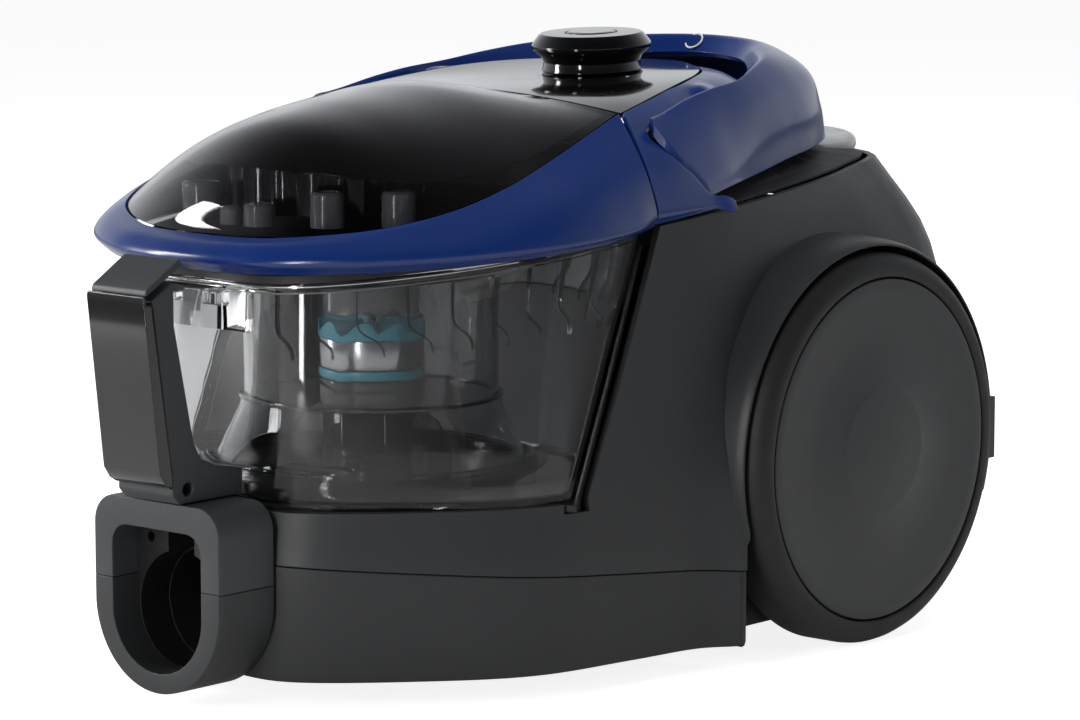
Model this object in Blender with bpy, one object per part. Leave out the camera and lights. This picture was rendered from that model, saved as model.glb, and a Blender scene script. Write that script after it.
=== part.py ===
"""Bagless canister vacuum cleaner: separate closed sub-parts in one frame.

Frame: +Z up, floor at z = 0, the front (hose inlet) faces -Y, +X is the right-hand wheel.
Lengths below are millimetres; MM turns them into metres when a mesh is written.
"""
import math

import bmesh
import bpy
import numpy as np

MM = 0.001
SHARP = math.radians(38)

# ---- driving dimensions (mm) -------------------------------------------------
WHEEL_Y = 98.0
WHEEL_R = 79.5
WHEEL_IN = 108.5
WHEEL_OUT = 133.4
CAP_R = 69.2
CAP_OUT = 136.0
WELL_R = 82.0
WELL_X = 104.0
LIP_X = 128.0
BASE_Z = 10.0
SHELL_T = 3.0
SEAM_Y = 19.7
BORE_R = 22.5
BORE_Z = 36.5
COLLAR_FRONT = -179.5
COLLAR_BACK = -151.2
COLLAR_W = 34.4
COLLAR_IN = 23.6
COLLAR_TOP = 79.6
COLLAR_BOT = 5.8
PORT_Y = -98.0
TRAY_Z = 74.8
CYC_Y = -60.0
CYC_R = 50.0
TURB_R = 21.0
KNOB_Y = 73.7
KNOB_Z = 227.3
KNOB_R = 24.7
KNOB_TILT = math.radians(2.5)
CASTER_Y = -45.0
CASTER_R = 13.0
CASTER_TRAIL = 7.0
MOTOR_Z = 112.0
REEL_Y = 120.0
GRIP_W = 15.4
GRIP_FRONT = -199.0
FOOT_BACK = 199.0

# plan outlines of the grey body, right half, front centre to rear centre
XY_BASE = [(0, -149.2), (38, -148), (78, -111.5), (102.5, -76), (111.5, -30), (116.5, 2), (126.5, 19),
           (126, 40), (118, 100), (110, 152), (90, 184), (0, 194)]
XY_TRAY = [(0, -148), (38, -146), (77.5, -110.5), (101.5, -74), (110, -30), (115.5, 2), (126, 19),
           (125, 40), (117, 100), (112, 156), (92, 188), (0, 198)]
XY_MID = [(0, -146), (38, -143), (76, -108), (99, -72), (106.5, -30), (109.5, 2), (112, 20),
          (114, 42), (113, 98), (111, 154), (93, 187), (0, 198)]
XY_HIGH = [(0, -144), (38, -141), (75, -106), (97, -70), (104, -30), (106.5, 2), (107.5, 20),
           (107, 42), (104, 98), (101, 150), (86, 184), (0, 196)]
XY_TOP = [(0, -142), (38, -139), (74, -104), (96, -68), (103.5, -28), (105, 2), (105, 20),
          (104, 42), (96, 98), (84, 143), (66, 177), (0, 190)]

CAP_XY = [(0, 153.5), (30, 153), (52, 152), (61, 160), (60.5, 173), (50, 186), (28, 191.5), (0, 193)]
CAP_GAP = 0.6


def z_part(y):
    return 55.0 - 0.087 * (y + 150.0)


def z_top(y):
    return 177.0 + 0.0688 * (y + 11.0)


def z_rim(y):
    return 161.5 + 0.108 * (y + 150.0)


def cap_rise(y):
    return 1.0 + 0.38 * min(max((y - 173.0) / 17.0, 0.0), 1.0)


def y_edge(z):
    return -61.0 + 0.444 * (z - 74.0)


# ---- mesh helpers ------------------------------------------------------------
def clear():
    for ob in list(bpy.data.objects):
        bpy.data.objects.remove(ob, do_unlink=True)


MATS = {}


def material(name, rgb, rough, metal=0.0, clear_part=False):
    mat = bpy.data.materials.new(name)
    mat.use_nodes = True
    bsdf = mat.node_tree.nodes["Principled BSDF"]
    bsdf.inputs["Base Color"].default_value = (rgb[0], rgb[1], rgb[2], 1.0)
    bsdf.inputs["Roughness"].default_value = rough
    bsdf.inputs["Metallic"].default_value = metal
    if clear_part:
        bsdf.inputs["Transmission Weight"].default_value = 0.9
    mat.diffuse_color = (rgb[0], rgb[1], rgb[2], 1.0)
    MATS[name] = mat


def materials():
    material("body_grey", (0.030, 0.032, 0.035), 0.45)
    material("base_grey", (0.026, 0.027, 0.029), 0.50)
    material("collar_grey", (0.060, 0.066, 0.072), 0.45)
    material("blue_gloss", (0.010, 0.028, 0.130), 0.18)
    material("black_gloss", (0.006, 0.006, 0.007), 0.12)
    material("black_matte", (0.012, 0.012, 0.013), 0.60)
    material("grey_gloss", (0.250, 0.260, 0.270), 0.20)
    material("clear_smoke", (0.550, 0.560, 0.580), 0.05, 0.0, True)
    material("lens_smoke", (0.100, 0.100, 0.110), 0.04, 0.0, True)
    material("teal", (0.005, 0.100, 0.130), 0.35)
    material("silver", (0.500, 0.500, 0.510), 0.25, 0.9)
    material("tyre_rubber", (0.018, 0.019, 0.020), 0.75)
    material("wheel_grey", (0.042, 0.044, 0.047), 0.50)
    material("steel", (0.550, 0.550, 0.560), 0.30, 1.0)
    material("copper", (0.450, 0.180, 0.080), 0.35, 0.9)
    material("foam", (0.080, 0.085, 0.095), 0.95)
    material("filter_paper", (0.700, 0.700, 0.670), 0.90)
    material("pcb_green", (0.010, 0.110, 0.040), 0.50)
    material("soft_rubber", (0.015, 0.015, 0.016), 0.85)


def write(name, verts, faces, mat, origin=(0, 0, 0), hidden=False):
    verts = np.asarray(verts, float)
    org = np.asarray(origin, float)
    me = bpy.data.meshes.new(name)
    me.from_pydata([tuple(v) for v in (verts - org) * MM], [], faces)
    bm = bmesh.new()
    bm.from_mesh(me)
    bmesh.ops.recalc_face_normals(bm, faces=bm.faces)
    bm.to_mesh(me)
    bm.free()
    me.shade_smooth()
    me.set_sharp_from_angle(angle=SHARP)
    ob = bpy.data.objects.new(name, me)
    ob.location = tuple(org * MM)
    bpy.context.collection.objects.link(ob)
    if mat:
        me.materials.append(MATS[mat])
    if hidden:
        ob.hide_render = True
        ob.display_type = 'WIRE'
    return ob


def smooth(ctrl, n, lead=None, tail=None):
    """n points on a Catmull-Rom curve through ctrl."""
    pts = [np.asarray(p, float) for p in ctrl]
    first = np.asarray(lead, float) if lead is not None else 2 * pts[0] - pts[1]
    last = np.asarray(tail, float) if tail is not None else 2 * pts[-1] - pts[-2]
    pts = [first] + pts + [last]
    out = []
    spans = len(pts) - 3
    for k in range(n):
        u = k / (n - 1) * spans
        i = min(int(u), spans - 1)
        t = u - i
        a, b, c, d = pts[i], pts[i + 1], pts[i + 2], pts[i + 3]
        out.append(0.5 * (2 * b + (c - a) * t + (2 * a - 5 * b + 4 * c - d) * t * t
                          + (3 * b - a - 3 * c + d) * t ** 3))
    return np.array(out)


def flip(p):
    return np.array([-p[0]] + list(p[1:]), float)


def half(ctrl, n):
    """Right-half curve whose ends cross x = 0 squarely."""
    return smooth(ctrl, n, flip(ctrl[1]), flip(ctrl[-2]))


def full(half_pts):
    """Closed ring from a right half running front centre to rear centre."""
    h = np.asarray(half_pts, float)
    m = h[1:-1][::-1].copy()
    m[:, 0] *= -1
    return np.vstack([h, m])


def inset(ring, dist):
    """Move a closed ring inwards in plan by dist."""
    r = np.asarray(ring, float)
    tan = np.roll(r, -1, 0) - np.roll(r, 1, 0)
    nrm = np.stack([tan[:, 1], -tan[:, 0]], 1)
    nrm /= np.maximum(np.linalg.norm(nrm, axis=1), 1e-9)[:, None]
    out = r.copy()
    out[:, :2] -= nrm * dist
    return out


def loft(name, rings, mat, origin=(0, 0, 0), closed=False, hidden=False):
    n = len(rings[0])
    verts = np.vstack(rings)
    faces = []
    last = len(rings) if closed else len(rings) - 1
    for k in range(last):
        a = k * n
        b = ((k + 1) % len(rings)) * n
        for i in range(n):
            j = (i + 1) % n
            faces.append((a + i, a + j, b + j, b + i))
    if not closed:
        faces.append(tuple(range(n)))
        faces.append(tuple(range((len(rings) - 1) * n, len(rings) * n)))
    return write(name, verts, faces, mat, origin, hidden)


def frame_axes(axis):
    axis = np.asarray(axis, float)
    axis = axis / np.linalg.norm(axis)
    ref = np.array([1.0, 0, 0]) if abs(axis[0]) < 0.9 else np.array([0, 1.0, 0])
    u = ref - axis * (ref @ axis)
    u = u / np.linalg.norm(u)
    return axis, u, np.cross(axis, u)


def circle(centre, axis, r, n, phase=0.0):
    _, u, v = frame_axes(axis)
    a = np.arange(n) * 2 * math.pi / n + phase
    return np.asarray(centre, float) + r * (np.outer(np.cos(a), u) + np.outer(np.sin(a), v))


def lathe(name, prof, mat, centre=(0, 0, 0), axis=(0, 0, 1), n=40, closed=False, hidden=False):
    """Rings at radius r and height h along axis; a closed profile goes round a bore."""
    ax = frame_axes(axis)[0]
    rings = [circle(np.asarray(centre, float) + ax * h, axis, max(r, 0.01), n) for r, h in prof]
    return loft(name, rings, mat, centre, closed, hidden)


def prism(name, outline, lo, hi, mat, plane="YZ", origin=(0, 0, 0), hidden=False):
    """Polygon drawn in a plane and pushed from lo to hi along the third axis."""
    spot = {"YZ": lambda a, b, h: (h, a, b), "XZ": lambda a, b, h: (a, h, b), "XY": lambda a, b, h: (a, b, h)}
    put = spot[plane]
    rings = [np.array([put(a, b, h) for a, b in outline], float) for h in (lo, hi)]
    return loft(name, rings, mat, origin, False, hidden)


def box(name, x, y, z, mat, origin=(0, 0, 0), hidden=False):
    return prism(name, [(y[0], z[0]), (y[1], z[0]), (y[1], z[1]), (y[0], z[1])], x[0], x[1], mat, "YZ",
                 origin, hidden)


def sheet(name, grid, thick, mat, origin=(0, 0, 0)):
    """Closed skin: the grid is the outer face, pushed inwards by thick."""
    g = np.asarray(grid, float)
    nu, nv = g.shape[:2]
    du = np.gradient(g, axis=0)
    dv = np.gradient(g, axis=1)
    nrm = np.cross(du, dv)
    nrm /= np.maximum(np.linalg.norm(nrm, axis=2), 1e-9)[:, :, None]
    if nrm[:, :, 2].mean() < 0:
        nrm = -nrm
    low = g - nrm * thick
    verts = np.vstack([g.reshape(-1, 3), low.reshape(-1, 3)])
    off = nu * nv
    faces = []
    for i in range(nu - 1):
        for j in range(nv - 1):
            a, b, c, d = i * nv + j, i * nv + j + 1, (i + 1) * nv + j + 1, (i + 1) * nv + j
            faces.append((a, b, c, d))
            faces.append((off + d, off + c, off + b, off + a))
    rim = [i * nv for i in range(nu)] + [(nu - 1) * nv + j for j in range(1, nv)]
    rim += [i * nv + nv - 1 for i in range(nu - 2, -1, -1)] + [j for j in range(nv - 2, 0, -1)]
    for k in range(len(rim)):
        a, b = rim[k], rim[(k + 1) % len(rim)]
        faces.append((a, b, off + b, off + a))
    return write(name, verts, faces, mat, origin)


def boolean(ob, tool, op="DIFFERENCE"):
    mod = ob.modifiers.new(op.lower() + "_" + tool.name[:30], 'BOOLEAN')
    mod.object = tool
    mod.operation = op
    mod.solver = 'EXACT'


# ---- grey body ---------------------------------------------------------------
N_HALF = 22


def section(xy, zfun, n=N_HALF):
    pts = half([(x, y, 0) for x, y in xy], n)
    ring = full(pts)
    ring[:, 2] = [zfun(y) for y in ring[:, 1]]
    return ring


def body_rings(t):
    """Outer rings of the grey body pulled inwards by t, bottom to top."""
    rings = [section(XY_BASE, lambda y: BASE_Z), section(XY_BASE, z_part)]
    rings.append(section(XY_TRAY, lambda y: 77.0))
    rings.append(section([(a[0] * .5 + b[0] * .5, a[1] * .5 + b[1] * .5) for a, b in zip(XY_TRAY, XY_MID)],
                         lambda y: 102.0))
    rings.append(section(XY_MID, lambda y: 127.0))
    rings.append(section(XY_HIGH, lambda y: 160.0))
    rings.append(section(XY_TOP, z_top))
    return [inset(r, t) for r in rings]


def arch_ring(name, side):
    prof = [(85.5, 98), (85.3, 112), (84.8, 120), (83.8, 126.5), (82.8, LIP_X)]
    return lathe(name, prof, None, (0, WHEEL_Y, WHEEL_R), (side, 0, 0), 38, False, True)


def well(name, side, r, x0, x1, low):
    """Wheel opening: a circle over the wheel and a straight drop in front of it."""
    pts = []
    a0 = math.asin((56.0 - WHEEL_R) / r)
    for k in range(1, 28):
        a = a0 + (math.pi - 2 * a0) * k / 28
        pts.append((WHEEL_Y - r * math.cos(a), WHEEL_R + r * math.sin(a)))
    y0 = SEAM_Y - (r - WELL_R)
    y1 = WHEEL_Y + (WHEEL_Y - y0)
    outline = [(y0, low), (y0, 56)] + pts + [(y1, 56), (y1, low)]
    lo, hi = sorted((side * x0, side * x1))
    return prism(name, outline, lo, hi, None, "YZ", (0, 0, 0), True)


def body_shell():
    shell = loft("body_shell", body_rings(0), "body_grey")
    inner = [r.copy() for r in body_rings(SHELL_T)]
    inner[0][:, 2] = -20
    top = inner[-1].copy()
    top[:, 2] += 40
    hollow = loft("cut_shell_hollow", inner + [top], None, (0, 0, 0), False, True)
    boolean(shell, box("cut_exhaust", (-56.2, 56.2), (165, 230), (87.8, 166.4), None, (0, 0, 0), True))
    for side, tag in ((1, "right"), (-1, "left")):
        boolean(shell, arch_ring("add_arch_" + tag, side), "UNION")
        boolean(hollow, well("keep_well_" + tag, side, WELL_R + 2.6, WELL_X - 2.6, 160, -30))
    boolean(shell, hollow)
    for side, tag in ((1, "right"), (-1, "left")):
        boolean(shell, well("cut_well_" + tag, side, WELL_R, WELL_X, 160, -30))
    bay = [(-250, TRAY_Z + 0.4), (y_edge(75) - 4.2, TRAY_Z + 0.4), (y_edge(75) - 4.2, 71.6),
           (y_edge(75) + 8.0, 71.6), (y_edge(77) + 7.0, 77), (y_edge(260) + 6.8, 260), (-250, 260)]
    boolean(shell, prism("cut_bay_front", bay, -150, 150, None, "YZ", (0, 0, 0), True))
    low = [(-250, z_part(-250) + 0.15), (-250, -30), (250, -30), (250, z_part(250) + 0.15)]
    boolean(shell, prism("cut_below_parting", low, -151, 151, None, "YZ", (0, 0, 0), True))
    boolean(shell, lathe("cut_duct_front", [(BORE_R + 2.2, 0), (BORE_R + 2.2, 22)], None,
                         (0, -158, BORE_Z), (0, 1, 0), 28, False, True))
    boolean(shell, lathe("cut_gland", [(8.4, 0), (8.4, 40)], None, (-40, 180, 62), (0, 1, 0), 24, False, True))
    for side in (1, -1):
        boolean(shell, lathe("cut_axle%d" % side, [(6.4, 90), (6.4, 110)], None, (0, WHEEL_Y, WHEEL_R),
                             (side, 0, 0), 20, False, True))
    return shell


def base_outline():
    pts = [tuple(p) for p in half([(x, y, 0) for x, y in XY_BASE], 60) if p[1] < SEAM_Y - 0.2]
    front = [(p[0], p[1]) for p in pts][::3]
    front.append((126.2, SEAM_Y - 0.2))
    front.append((103.7, SEAM_Y - 0.1))
    rear = [(103.7, 60), (103.7, 100), (103.7, 140), (103.2, 160), (90, 184), (68, 190), (34, 193.3), (0, 194)]
    return front + rear


def base_housing():
    out = full([(x, y, 0) for x, y in base_outline()])

    def at(ring, zfun):
        r = ring.copy()
        r[:, 2] = [zfun(y) for y in r[:, 1]]
        return r
    inn = inset(out, 2.4)
    rings = [at(inset(out, 2.0), lambda y: BASE_Z), at(out, lambda y: BASE_Z + 2.2),
             at(out, lambda y: z_part(y) - 0.15), at(inn, lambda y: z_part(y) - 0.15),
             at(inn, lambda y: BASE_Z + 2.0)]
    base = loft("base_housing", rings, "base_grey")
    boolean(base, lathe("add_caster_dome", [(26.8, 0), (26.8, 25.4)], None, (0, CASTER_Y, BASE_Z + 0.1),
                        (0, 0, 1), 28, False, True), "UNION")
    boolean(base, lathe("cut_caster_dome", [(24.6, -20), (24.6, 23.0)], None, (0, CASTER_Y, BASE_Z),
                        (0, 0, 1), 28, False, True))
    boolean(base, lathe("cut_caster_pin", [(3.5, 20), (3.5, 40)], None, (0, CASTER_Y, BASE_Z),
                        (0, 0, 1), 14, False, True))
    boolean(base, lathe("cut_base_duct", [(BORE_R + 2.2, 0), (BORE_R + 2.2, 22)], None,
                        (0, -158, BORE_Z), (0, 1, 0), 28, False, True))
    for k, (x, y) in enumerate(SCREWS):
        boolean(base, lathe("cut_screw%d" % k, [(2.0, -5), (2.0, 10)], None, (x, y, BASE_Z), (0, 0, 1), 14,
                            False, True))
    return base


SCREWS = [(78, -70), (-78, -70)]


def base_screws():
    for k, (x, y) in enumerate(SCREWS):
        lathe("base_screw_%d" % (k + 1), [(1.2, -1.7), (3.2, -1.7), (3.9, -0.9), (3.9, -0.3), (1.6, -0.3),
                                          (1.6, 7.5), (0.9, 8.5)], "steel", (x, y, BASE_Z), (0, 0, 1), 12)


# ---- hose inlet --------------------------------------------------------------
def u_outline(w, zc, top, rc, zcut, upper, n=10):
    """Half of an upright U drawn in XZ, from the right cut round to the left cut."""
    pts = []
    if upper:
        pts.append((w, zcut))
        for k in range(6):
            a = math.radians(90 * k / 5)
            pts.append((w - rc + rc * math.cos(a), top - rc + rc * math.sin(a)))
        return pts + [(-x, z) for x, z in pts[::-1]]
    pts.append((w, zcut))
    for k in range(n + 1):
        a = math.radians(-90 * k / n)
        pts.append((w * math.cos(a), zc + w * math.sin(a)))
    return pts[:-1] + [(-x, z) for x, z in pts[::-1]]


def collars():
    for name, upper, cut, mat in (("inlet_collar_upper", True, 47.85, "collar_grey"),
                                  ("inlet_collar_lower", False, 47.55, "base_grey")):
        zc = COLLAR_BOT + COLLAR_W
        out = u_outline(COLLAR_W, zc, COLLAR_TOP, 11.0, cut, upper)
        inn = u_outline(COLLAR_IN, 13.4 + COLLAR_IN, 69.0, 8.0, cut, upper)
        soft = [(x * 0.97, z) for x, z in out]
        rings = []
        for pts, y in ((inn, COLLAR_FRONT), (soft, COLLAR_FRONT), (out, COLLAR_FRONT + 1.2),
                       (out, COLLAR_BACK), (inn, COLLAR_BACK)):
            if len(pts) != len(out):
                raise ValueError("collar rings differ")
            rings.append(np.array([(x, y, z) for x, z in pts]))
        n = len(out)
        verts = np.vstack(rings)
        faces = []
        m = len(rings)
        for k in range(m):
            a, b = k * n, ((k + 1) % m) * n
            for i in range(n - 1):
                faces.append((a + i, a + i + 1, b + i + 1, b + i))
        faces.append(tuple(k * n for k in range(m)))
        faces.append(tuple(k * n + n - 1 for k in range(m)))
        write(name, verts, faces, mat)


def inlet_socket():
    out = u_outline(COLLAR_IN - 0.35, 13.4 + COLLAR_IN, 68.65, 7.7, 45.0, True)
    low = u_outline(COLLAR_IN - 0.35, 13.4 + COLLAR_IN, 68.65, 7.7, 45.0, False)
    outline = out + low[::-1][1:-1]
    ob = prism("inlet_socket", outline, -166.0, -151.3, "black_matte", "XZ")
    boolean(ob, lathe("cut_bore", [(BORE_R, -10), (BORE_R, 20)], None, (0, -164, BORE_Z), (0, 1, 0), 28,
                      False, True))
    boolean(ob, box("cut_key", (-7, 7), (-170, -145), (50, 66.4), None, (0, 0, 0), True))
    for side in (1, -1):
        boolean(ob, lathe("cut_lug%d" % side, [(2.0, -10), (2.0, 20)], None, (side * 16.5, -164, 62.5),
                          (0, 1, 0), 12, False, True))


def inlet_duct():
    path = [(-150.8, BORE_Z, 0.0), (-124.0, BORE_Z, 0.0)]
    for k in range(1, 6):
        a = math.radians(90 * k / 5)
        path.append((-124 + 26 * math.sin(a), BORE_Z + 26 - 26 * math.cos(a), a))
    path.append((PORT_Y, 71.9, math.pi / 2))
    rings = []
    for r, run in ((BORE_R + 1.6, path), (BORE_R, path[::-1])):
        for y, z, a in run:
            rings.append(circle((0, y, z), (0, math.cos(a), math.sin(a)), r, 14))
    loft("inlet_duct", rings, "black_matte", (0, 0, 0), True)


# ---- bay for the dust cup ----------------------------------------------------
def cup_half(s, off, n=40):
    """Right half outline of the cup, s = 0 at its floor and 1 at its rim; off grows it."""
    lo = [(0, -146), (39, -143.5), (77, -110), (97.6, -84), (104.2, -61.5)]
    hi = [(0, -143), (38, -140), (74, -105), (95.5, -66), (102, -18)]
    lo2 = [(104.2, -61.5), (93, -41), (74, -13), (42, 8.5), (0, 13)]
    hi2 = [(102, -18), (92, -7.5), (74, 3.5), (42, 12), (0, 15)]
    a = [(p[0] + (q[0] - p[0]) * s, p[1] + (q[1] - p[1]) * s) for p, q in zip(lo, hi)]
    b = [(p[0] + (q[0] - p[0]) * s, p[1] + (q[1] - p[1]) * s) for p, q in zip(lo2, hi2)]
    front = smooth(a, FRONT_N, (-a[1][0], a[1][1]))
    rear = smooth(b, 9, None, (-b[-2][0], b[-2][1]))
    pts = np.vstack([front, rear[1:]])
    ring = full(np.column_stack([pts, np.zeros(len(pts))]))
    return inset(ring, -off) if off else ring


def cup_ring(s, off, lift=0.0):
    ring = cup_half(s, off)
    base = 75.4
    ring[:, 2] = [base + s * (z_rim(y) - 0.5 - base) + lift for y in ring[:, 1]]
    return ring


FRONT_N = 12


def pull(ring, scale):
    """Draw the front part of a cup ring inwards; the bay is open there."""
    out = ring.copy()
    n = len(out)
    for i in range(n):
        if min(i, n - i) < FRONT_N - 1:
            out[i, :2] *= scale
    return out


def bay_liner():
    levels = [0.0, 0.5, 0.95]
    outer = [cup_ring(s, 3.1) for s in levels]
    floor = pull(cup_ring(0.0, 3.1), 0.94)
    floor[:, 2] = 72.1
    rise = pull(cup_ring(0.0, 3.1), 0.94)
    rise[:, 2] = TRAY_Z + 1.0
    outer = [floor, rise] + [pull(r, 0.94) for r in outer[1:]]
    inner = [cup_ring(s, 1.7) for s in levels]
    inner[0][:, 2] = TRAY_Z
    inner = [pull(r, 0.92) for r in inner]
    liner = loft("bay_liner", outer + inner[::-1], "black_matte")
    front = [(-250, TRAY_Z), (y_edge(75) + 0.3, TRAY_Z), (y_edge(250) + 0.3, 250), (-250, 250)]
    boolean(liner, prism("cut_liner_front", front, -150, 150, None, "YZ", (0, 0, 0), True))
    boolean(liner, lathe("cut_liner_port", [(19.5, -10), (19.5, 10)], None, (0, PORT_Y, 73.5), (0, 0, 1), 32,
                         False, True))
    return liner


# ---- dust cup ----------------------------------------------------------------
def flare(ring, reach):
    """Push the front part of a cup ring outwards, fading out towards the bay."""
    wide = inset(ring, -reach)
    n = len(ring)
    out = ring.copy()
    for i in range(n):
        w = min(max((FRONT_N - 4 - min(i, n - i)) / 5.0, 0.0), 1.0)
        w = w * w * (3 - 2 * w)
        out[i] = ring[i] * (1 - w) + wide[i] * w
    return out


def dust_cup():
    outer = [inset(cup_ring(0, 0), 2.5), cup_ring(0.025, 0)] + [cup_ring(s, 0) for s in (0.5, 0.95)]
    outer += [flare(cup_ring(0.975, 0), 8.5), flare(cup_ring(1.0, 0), 9.0)]
    inner = [inset(cup_ring(s, 0), 2.2) for s in (1.0, 0.5)]
    floor = inset(cup_ring(0, 0), 2.6)
    floor[:, 2] = 78.0
    inner[0][:, 2] = cup_ring(1.0, 0)[:, 2]
    cup = loft("dust_cup", outer + inner + [floor], "clear_smoke")
    lug = [(-182.2, 149), (-141.5, 141), (-141.5, 158.5), (-150, 160.3), (-182.2, 160.3)]
    boolean(cup, prism("add_cup_lug", lug, -13.5, 13.5, None, "YZ", (0, 0, 0), True), "UNION")
    boolean(cup, lathe("cut_cup_port", [(18.8, -10), (18.8, 10)], None, (0, PORT_Y, 76.0), (0, 0, 1), 32,
                       False, True))
    return cup


def cyclone():
    c = (0, CYC_Y, 0)
    lathe("cyclone_cylinder", [(CYC_R, 108.3), (CYC_R, 156.5), (CYC_R - 1.8, 156.5),
                               (CYC_R - 1.8, 108.3)], "clear_smoke", c, (0, 0, 1), 28, True)
    skirt = lathe("cyclone_skirt", [(62, 78.3), (62, 82), (58, 90), (53.5, 99), (CYC_R + 0.6, 108.0),
                                    (CYC_R - 1.4, 108.0), (51.6, 99), (56.2, 90), (60.2, 82), (60.2, 78.3)],
                  "clear_smoke", c, (0, 0, 1), 24, True)
    boolean(skirt, lathe("cut_skirt_arch", [(21, 0), (21, 40)], None, (0, -135, 77), (0, 1, 0), 28, False, True))
    lathe("turbine_cup", [(15, 78.4), (16, 84), (16.5, 97), (TURB_R, 105), (TURB_R, 114.4), (18.5, 114.4),
                          (18.5, 106), (6, 104)], "black_gloss", c, (0, 0, 1), 20)
    lathe("outlet_tube", [(17, 141), (17, 160), (30, 163.5), (30, 165), (15.5, 162), (15.5, 141)],
          "clear_smoke", c, (0, 0, 1), 20, True)


def turbine():
    c = (0, CYC_Y, 0)
    lathe("turbine_ring", [(TURB_R, 114.9), (TURB_R, 118.9), (16, 118.9), (16, 114.9)], "teal", c,
                 (0, 0, 1), 20, True)
    lathe("turbine_band", [(TURB_R - 0.2, 119.2), (TURB_R - 0.2, 130.6), (17.5, 130.6), (17.5, 119.2)],
                 "silver", c, (0, 0, 1), 20, True)
    n = 36
    rings = []
    a = np.arange(n) * 2 * math.pi / n
    saw = (a * 9 / (2 * math.pi)) % 1.0
    top = 134.0 + 4.2 * np.where(saw < 0.75, saw / 0.75, (1 - saw) / 0.25)
    for r, z in ((TURB_R + 0.2, np.full(n, 131.0)), (TURB_R + 0.2, top), (5.0, top - 1.0), (5.0, np.full(n, 131.0))):
        rings.append(np.stack([r * np.cos(a), CYC_Y + r * np.sin(a), z], 1))
    loft("turbine_blades", rings, "teal", c, True)


def grip():
    cover = [(-194.6, 157.0), (GRIP_FRONT + 1.7, 157.2), (GRIP_FRONT + 1.7, 160.2), (GRIP_FRONT + 0.5, 160.6),
             (GRIP_FRONT, 159), (GRIP_FRONT + 7.6, 93), (GRIP_FRONT + 10.5, 88.6), (-184.9, 86.5), (-184.6, 90)]
    prism("grip_cover", cover, -GRIP_W, GRIP_W, "black_gloss")
    back = [(-193.8, 158.2), (-184.2, 89.5), (-184.4, 84), (-181, 80.2), (-147.3, 80.2), (-147.3, 90.5),
            (-162, 93), (-169.5, 96.5), (-173, 103), (-182.6, 148.4), (-182.6, 164.4)]
    band = prism("grip_back", back, -GRIP_W + 0.6, GRIP_W - 0.6, "collar_grey")
    boolean(band, lathe("cut_grip_screw", [(2.5, 9.0), (2.5, 20)], None, (0, -176.5, 85.5), (1, 0, 0), 14,
                        False, True))
    plate = [(-197.0, 160.0), (-197.0, 161.6), (-196.2, 162.9), (-179.5, 172.8), (-178.4, 172.2), (-178.2, 170.3)]
    prism("release_button", plate, -GRIP_W + 0.7, GRIP_W - 0.7, "collar_grey", "YZ", (0, -188, 166))


# ---- lid ---------------------------------------------------------------------
LID = [
    [(105.8, -13.2, 177.6), (107.6, -13.8, 183.5), (100.3, -13.4, 201.0), (77.7, -1.4, 218.6)],
    [(107.6, -28, 175.0), (111.2, -28.5, 179.8), (102, -30, 197.5), (80.5, -23, 212)],
    [(109.0, -52, 173.1), (113.1, -54, 177.8), (104.5, -54, 191.6), (83.1, -47, 204.3)],
    [(106.2, -77, 171.6), (110, -79, 176.3), (102.5, -79, 187.2), (85.3, -76, 195.9)],
    [(94, -107, 169.7), (97.2, -110, 174.4), (92, -107, 182.2), (81.5, -104.6, 188.6)],
    [(72, -135.5, 168), (74.6, -139, 172.7), (72.5, -135, 178.9), (66.8, -129.3, 183.2)],
    [(44, -154.2, 166.8), (45.2, -158.2, 171.5), (43, -154.5, 176.8), (38.3, -148.2, 179.8)],
    [(20, -160.4, 166.4), (20.5, -164.5, 171.1), (20, -160.3, 176.2), (18.2, -152.9, 179)],
    [(0, -161.8, 166.3), (0, -165.9, 171), (0, -161.5, 176.1), (0, -153.6, 178.9)],
]
LENS = [  # half width, edge y, centre y, edge z, centre z
    (10, -152.0, -152.6, 179.0, 179.2), (27, -149.3, -150.5, 179.4, 181.5), (44, -144.0, -146, 180.4, 192),
    (59.5, -134.0, -133, 182.2, 206), (72, -121.5, -112, 184.6, 218.4), (80.6, -104, -85, 188.6, 224),
    (84.4, -76, -58, 195.8, 227.1), (82.2, -47, -36, 204.2, 229.2), (79.6, -23, -20, 211.9, 228),
    (76.2, -0.8, -6.8, 218.6, 225.1),
]
DECK = [
    [(105.6, -12.0, 178.2), (107.2, -12.4, 184), (100.3, -12.0, 201.6), (78.8, 0.6, 219.0)],
    [(106.3, 6, 179.7), (107.0, 6, 184.8), (100.0, 5, 203.0), (75.9, 13.4, 221.0)],
    [(106.9, 22, 181.4), (106.2, 22, 186.0), (97.0, 20, 206.5), (72.7, 26.4, 222.9)],
    [(107.2, 38, 183.2), (104, 36, 190), (91.5, 33, 211.5), (69.2, 38.4, 224.6)],
    [(79.5, 50, 221.0), (75, 50.5, 223), (70.5, 51, 224.6), (65.3, 51.9, 226.0)],
    [(77, 66, 222.5), (71.5, 67, 224.6), (65.5, 68.5, 226.4), (59.2, 67.5, 227.5)],
    [(71.5, 82, 223.5), (65, 84, 225.6), (57.5, 85.5, 227.3), (50.2, 84.2, 228.4)],
    [(60, 97, 224.0), (53, 99, 226), (46, 100, 227.6), (39.5, 96, 228.6)],
    [(40, 108.5, 225.5), (36.5, 108, 226.8), (33.5, 107.2, 227.8), (30.5, 105.6, 228.4)],
    [(17, 123.5, 224.6), (16, 122.4, 225.6), (15.4, 121.2, 226.4), (14.8, 120, 226.9)],
    [(0, 127, 224.2), (0, 125.8, 225.2), (0, 124.6, 225.9), (0, 123.4, 226.4)],
]
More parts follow.
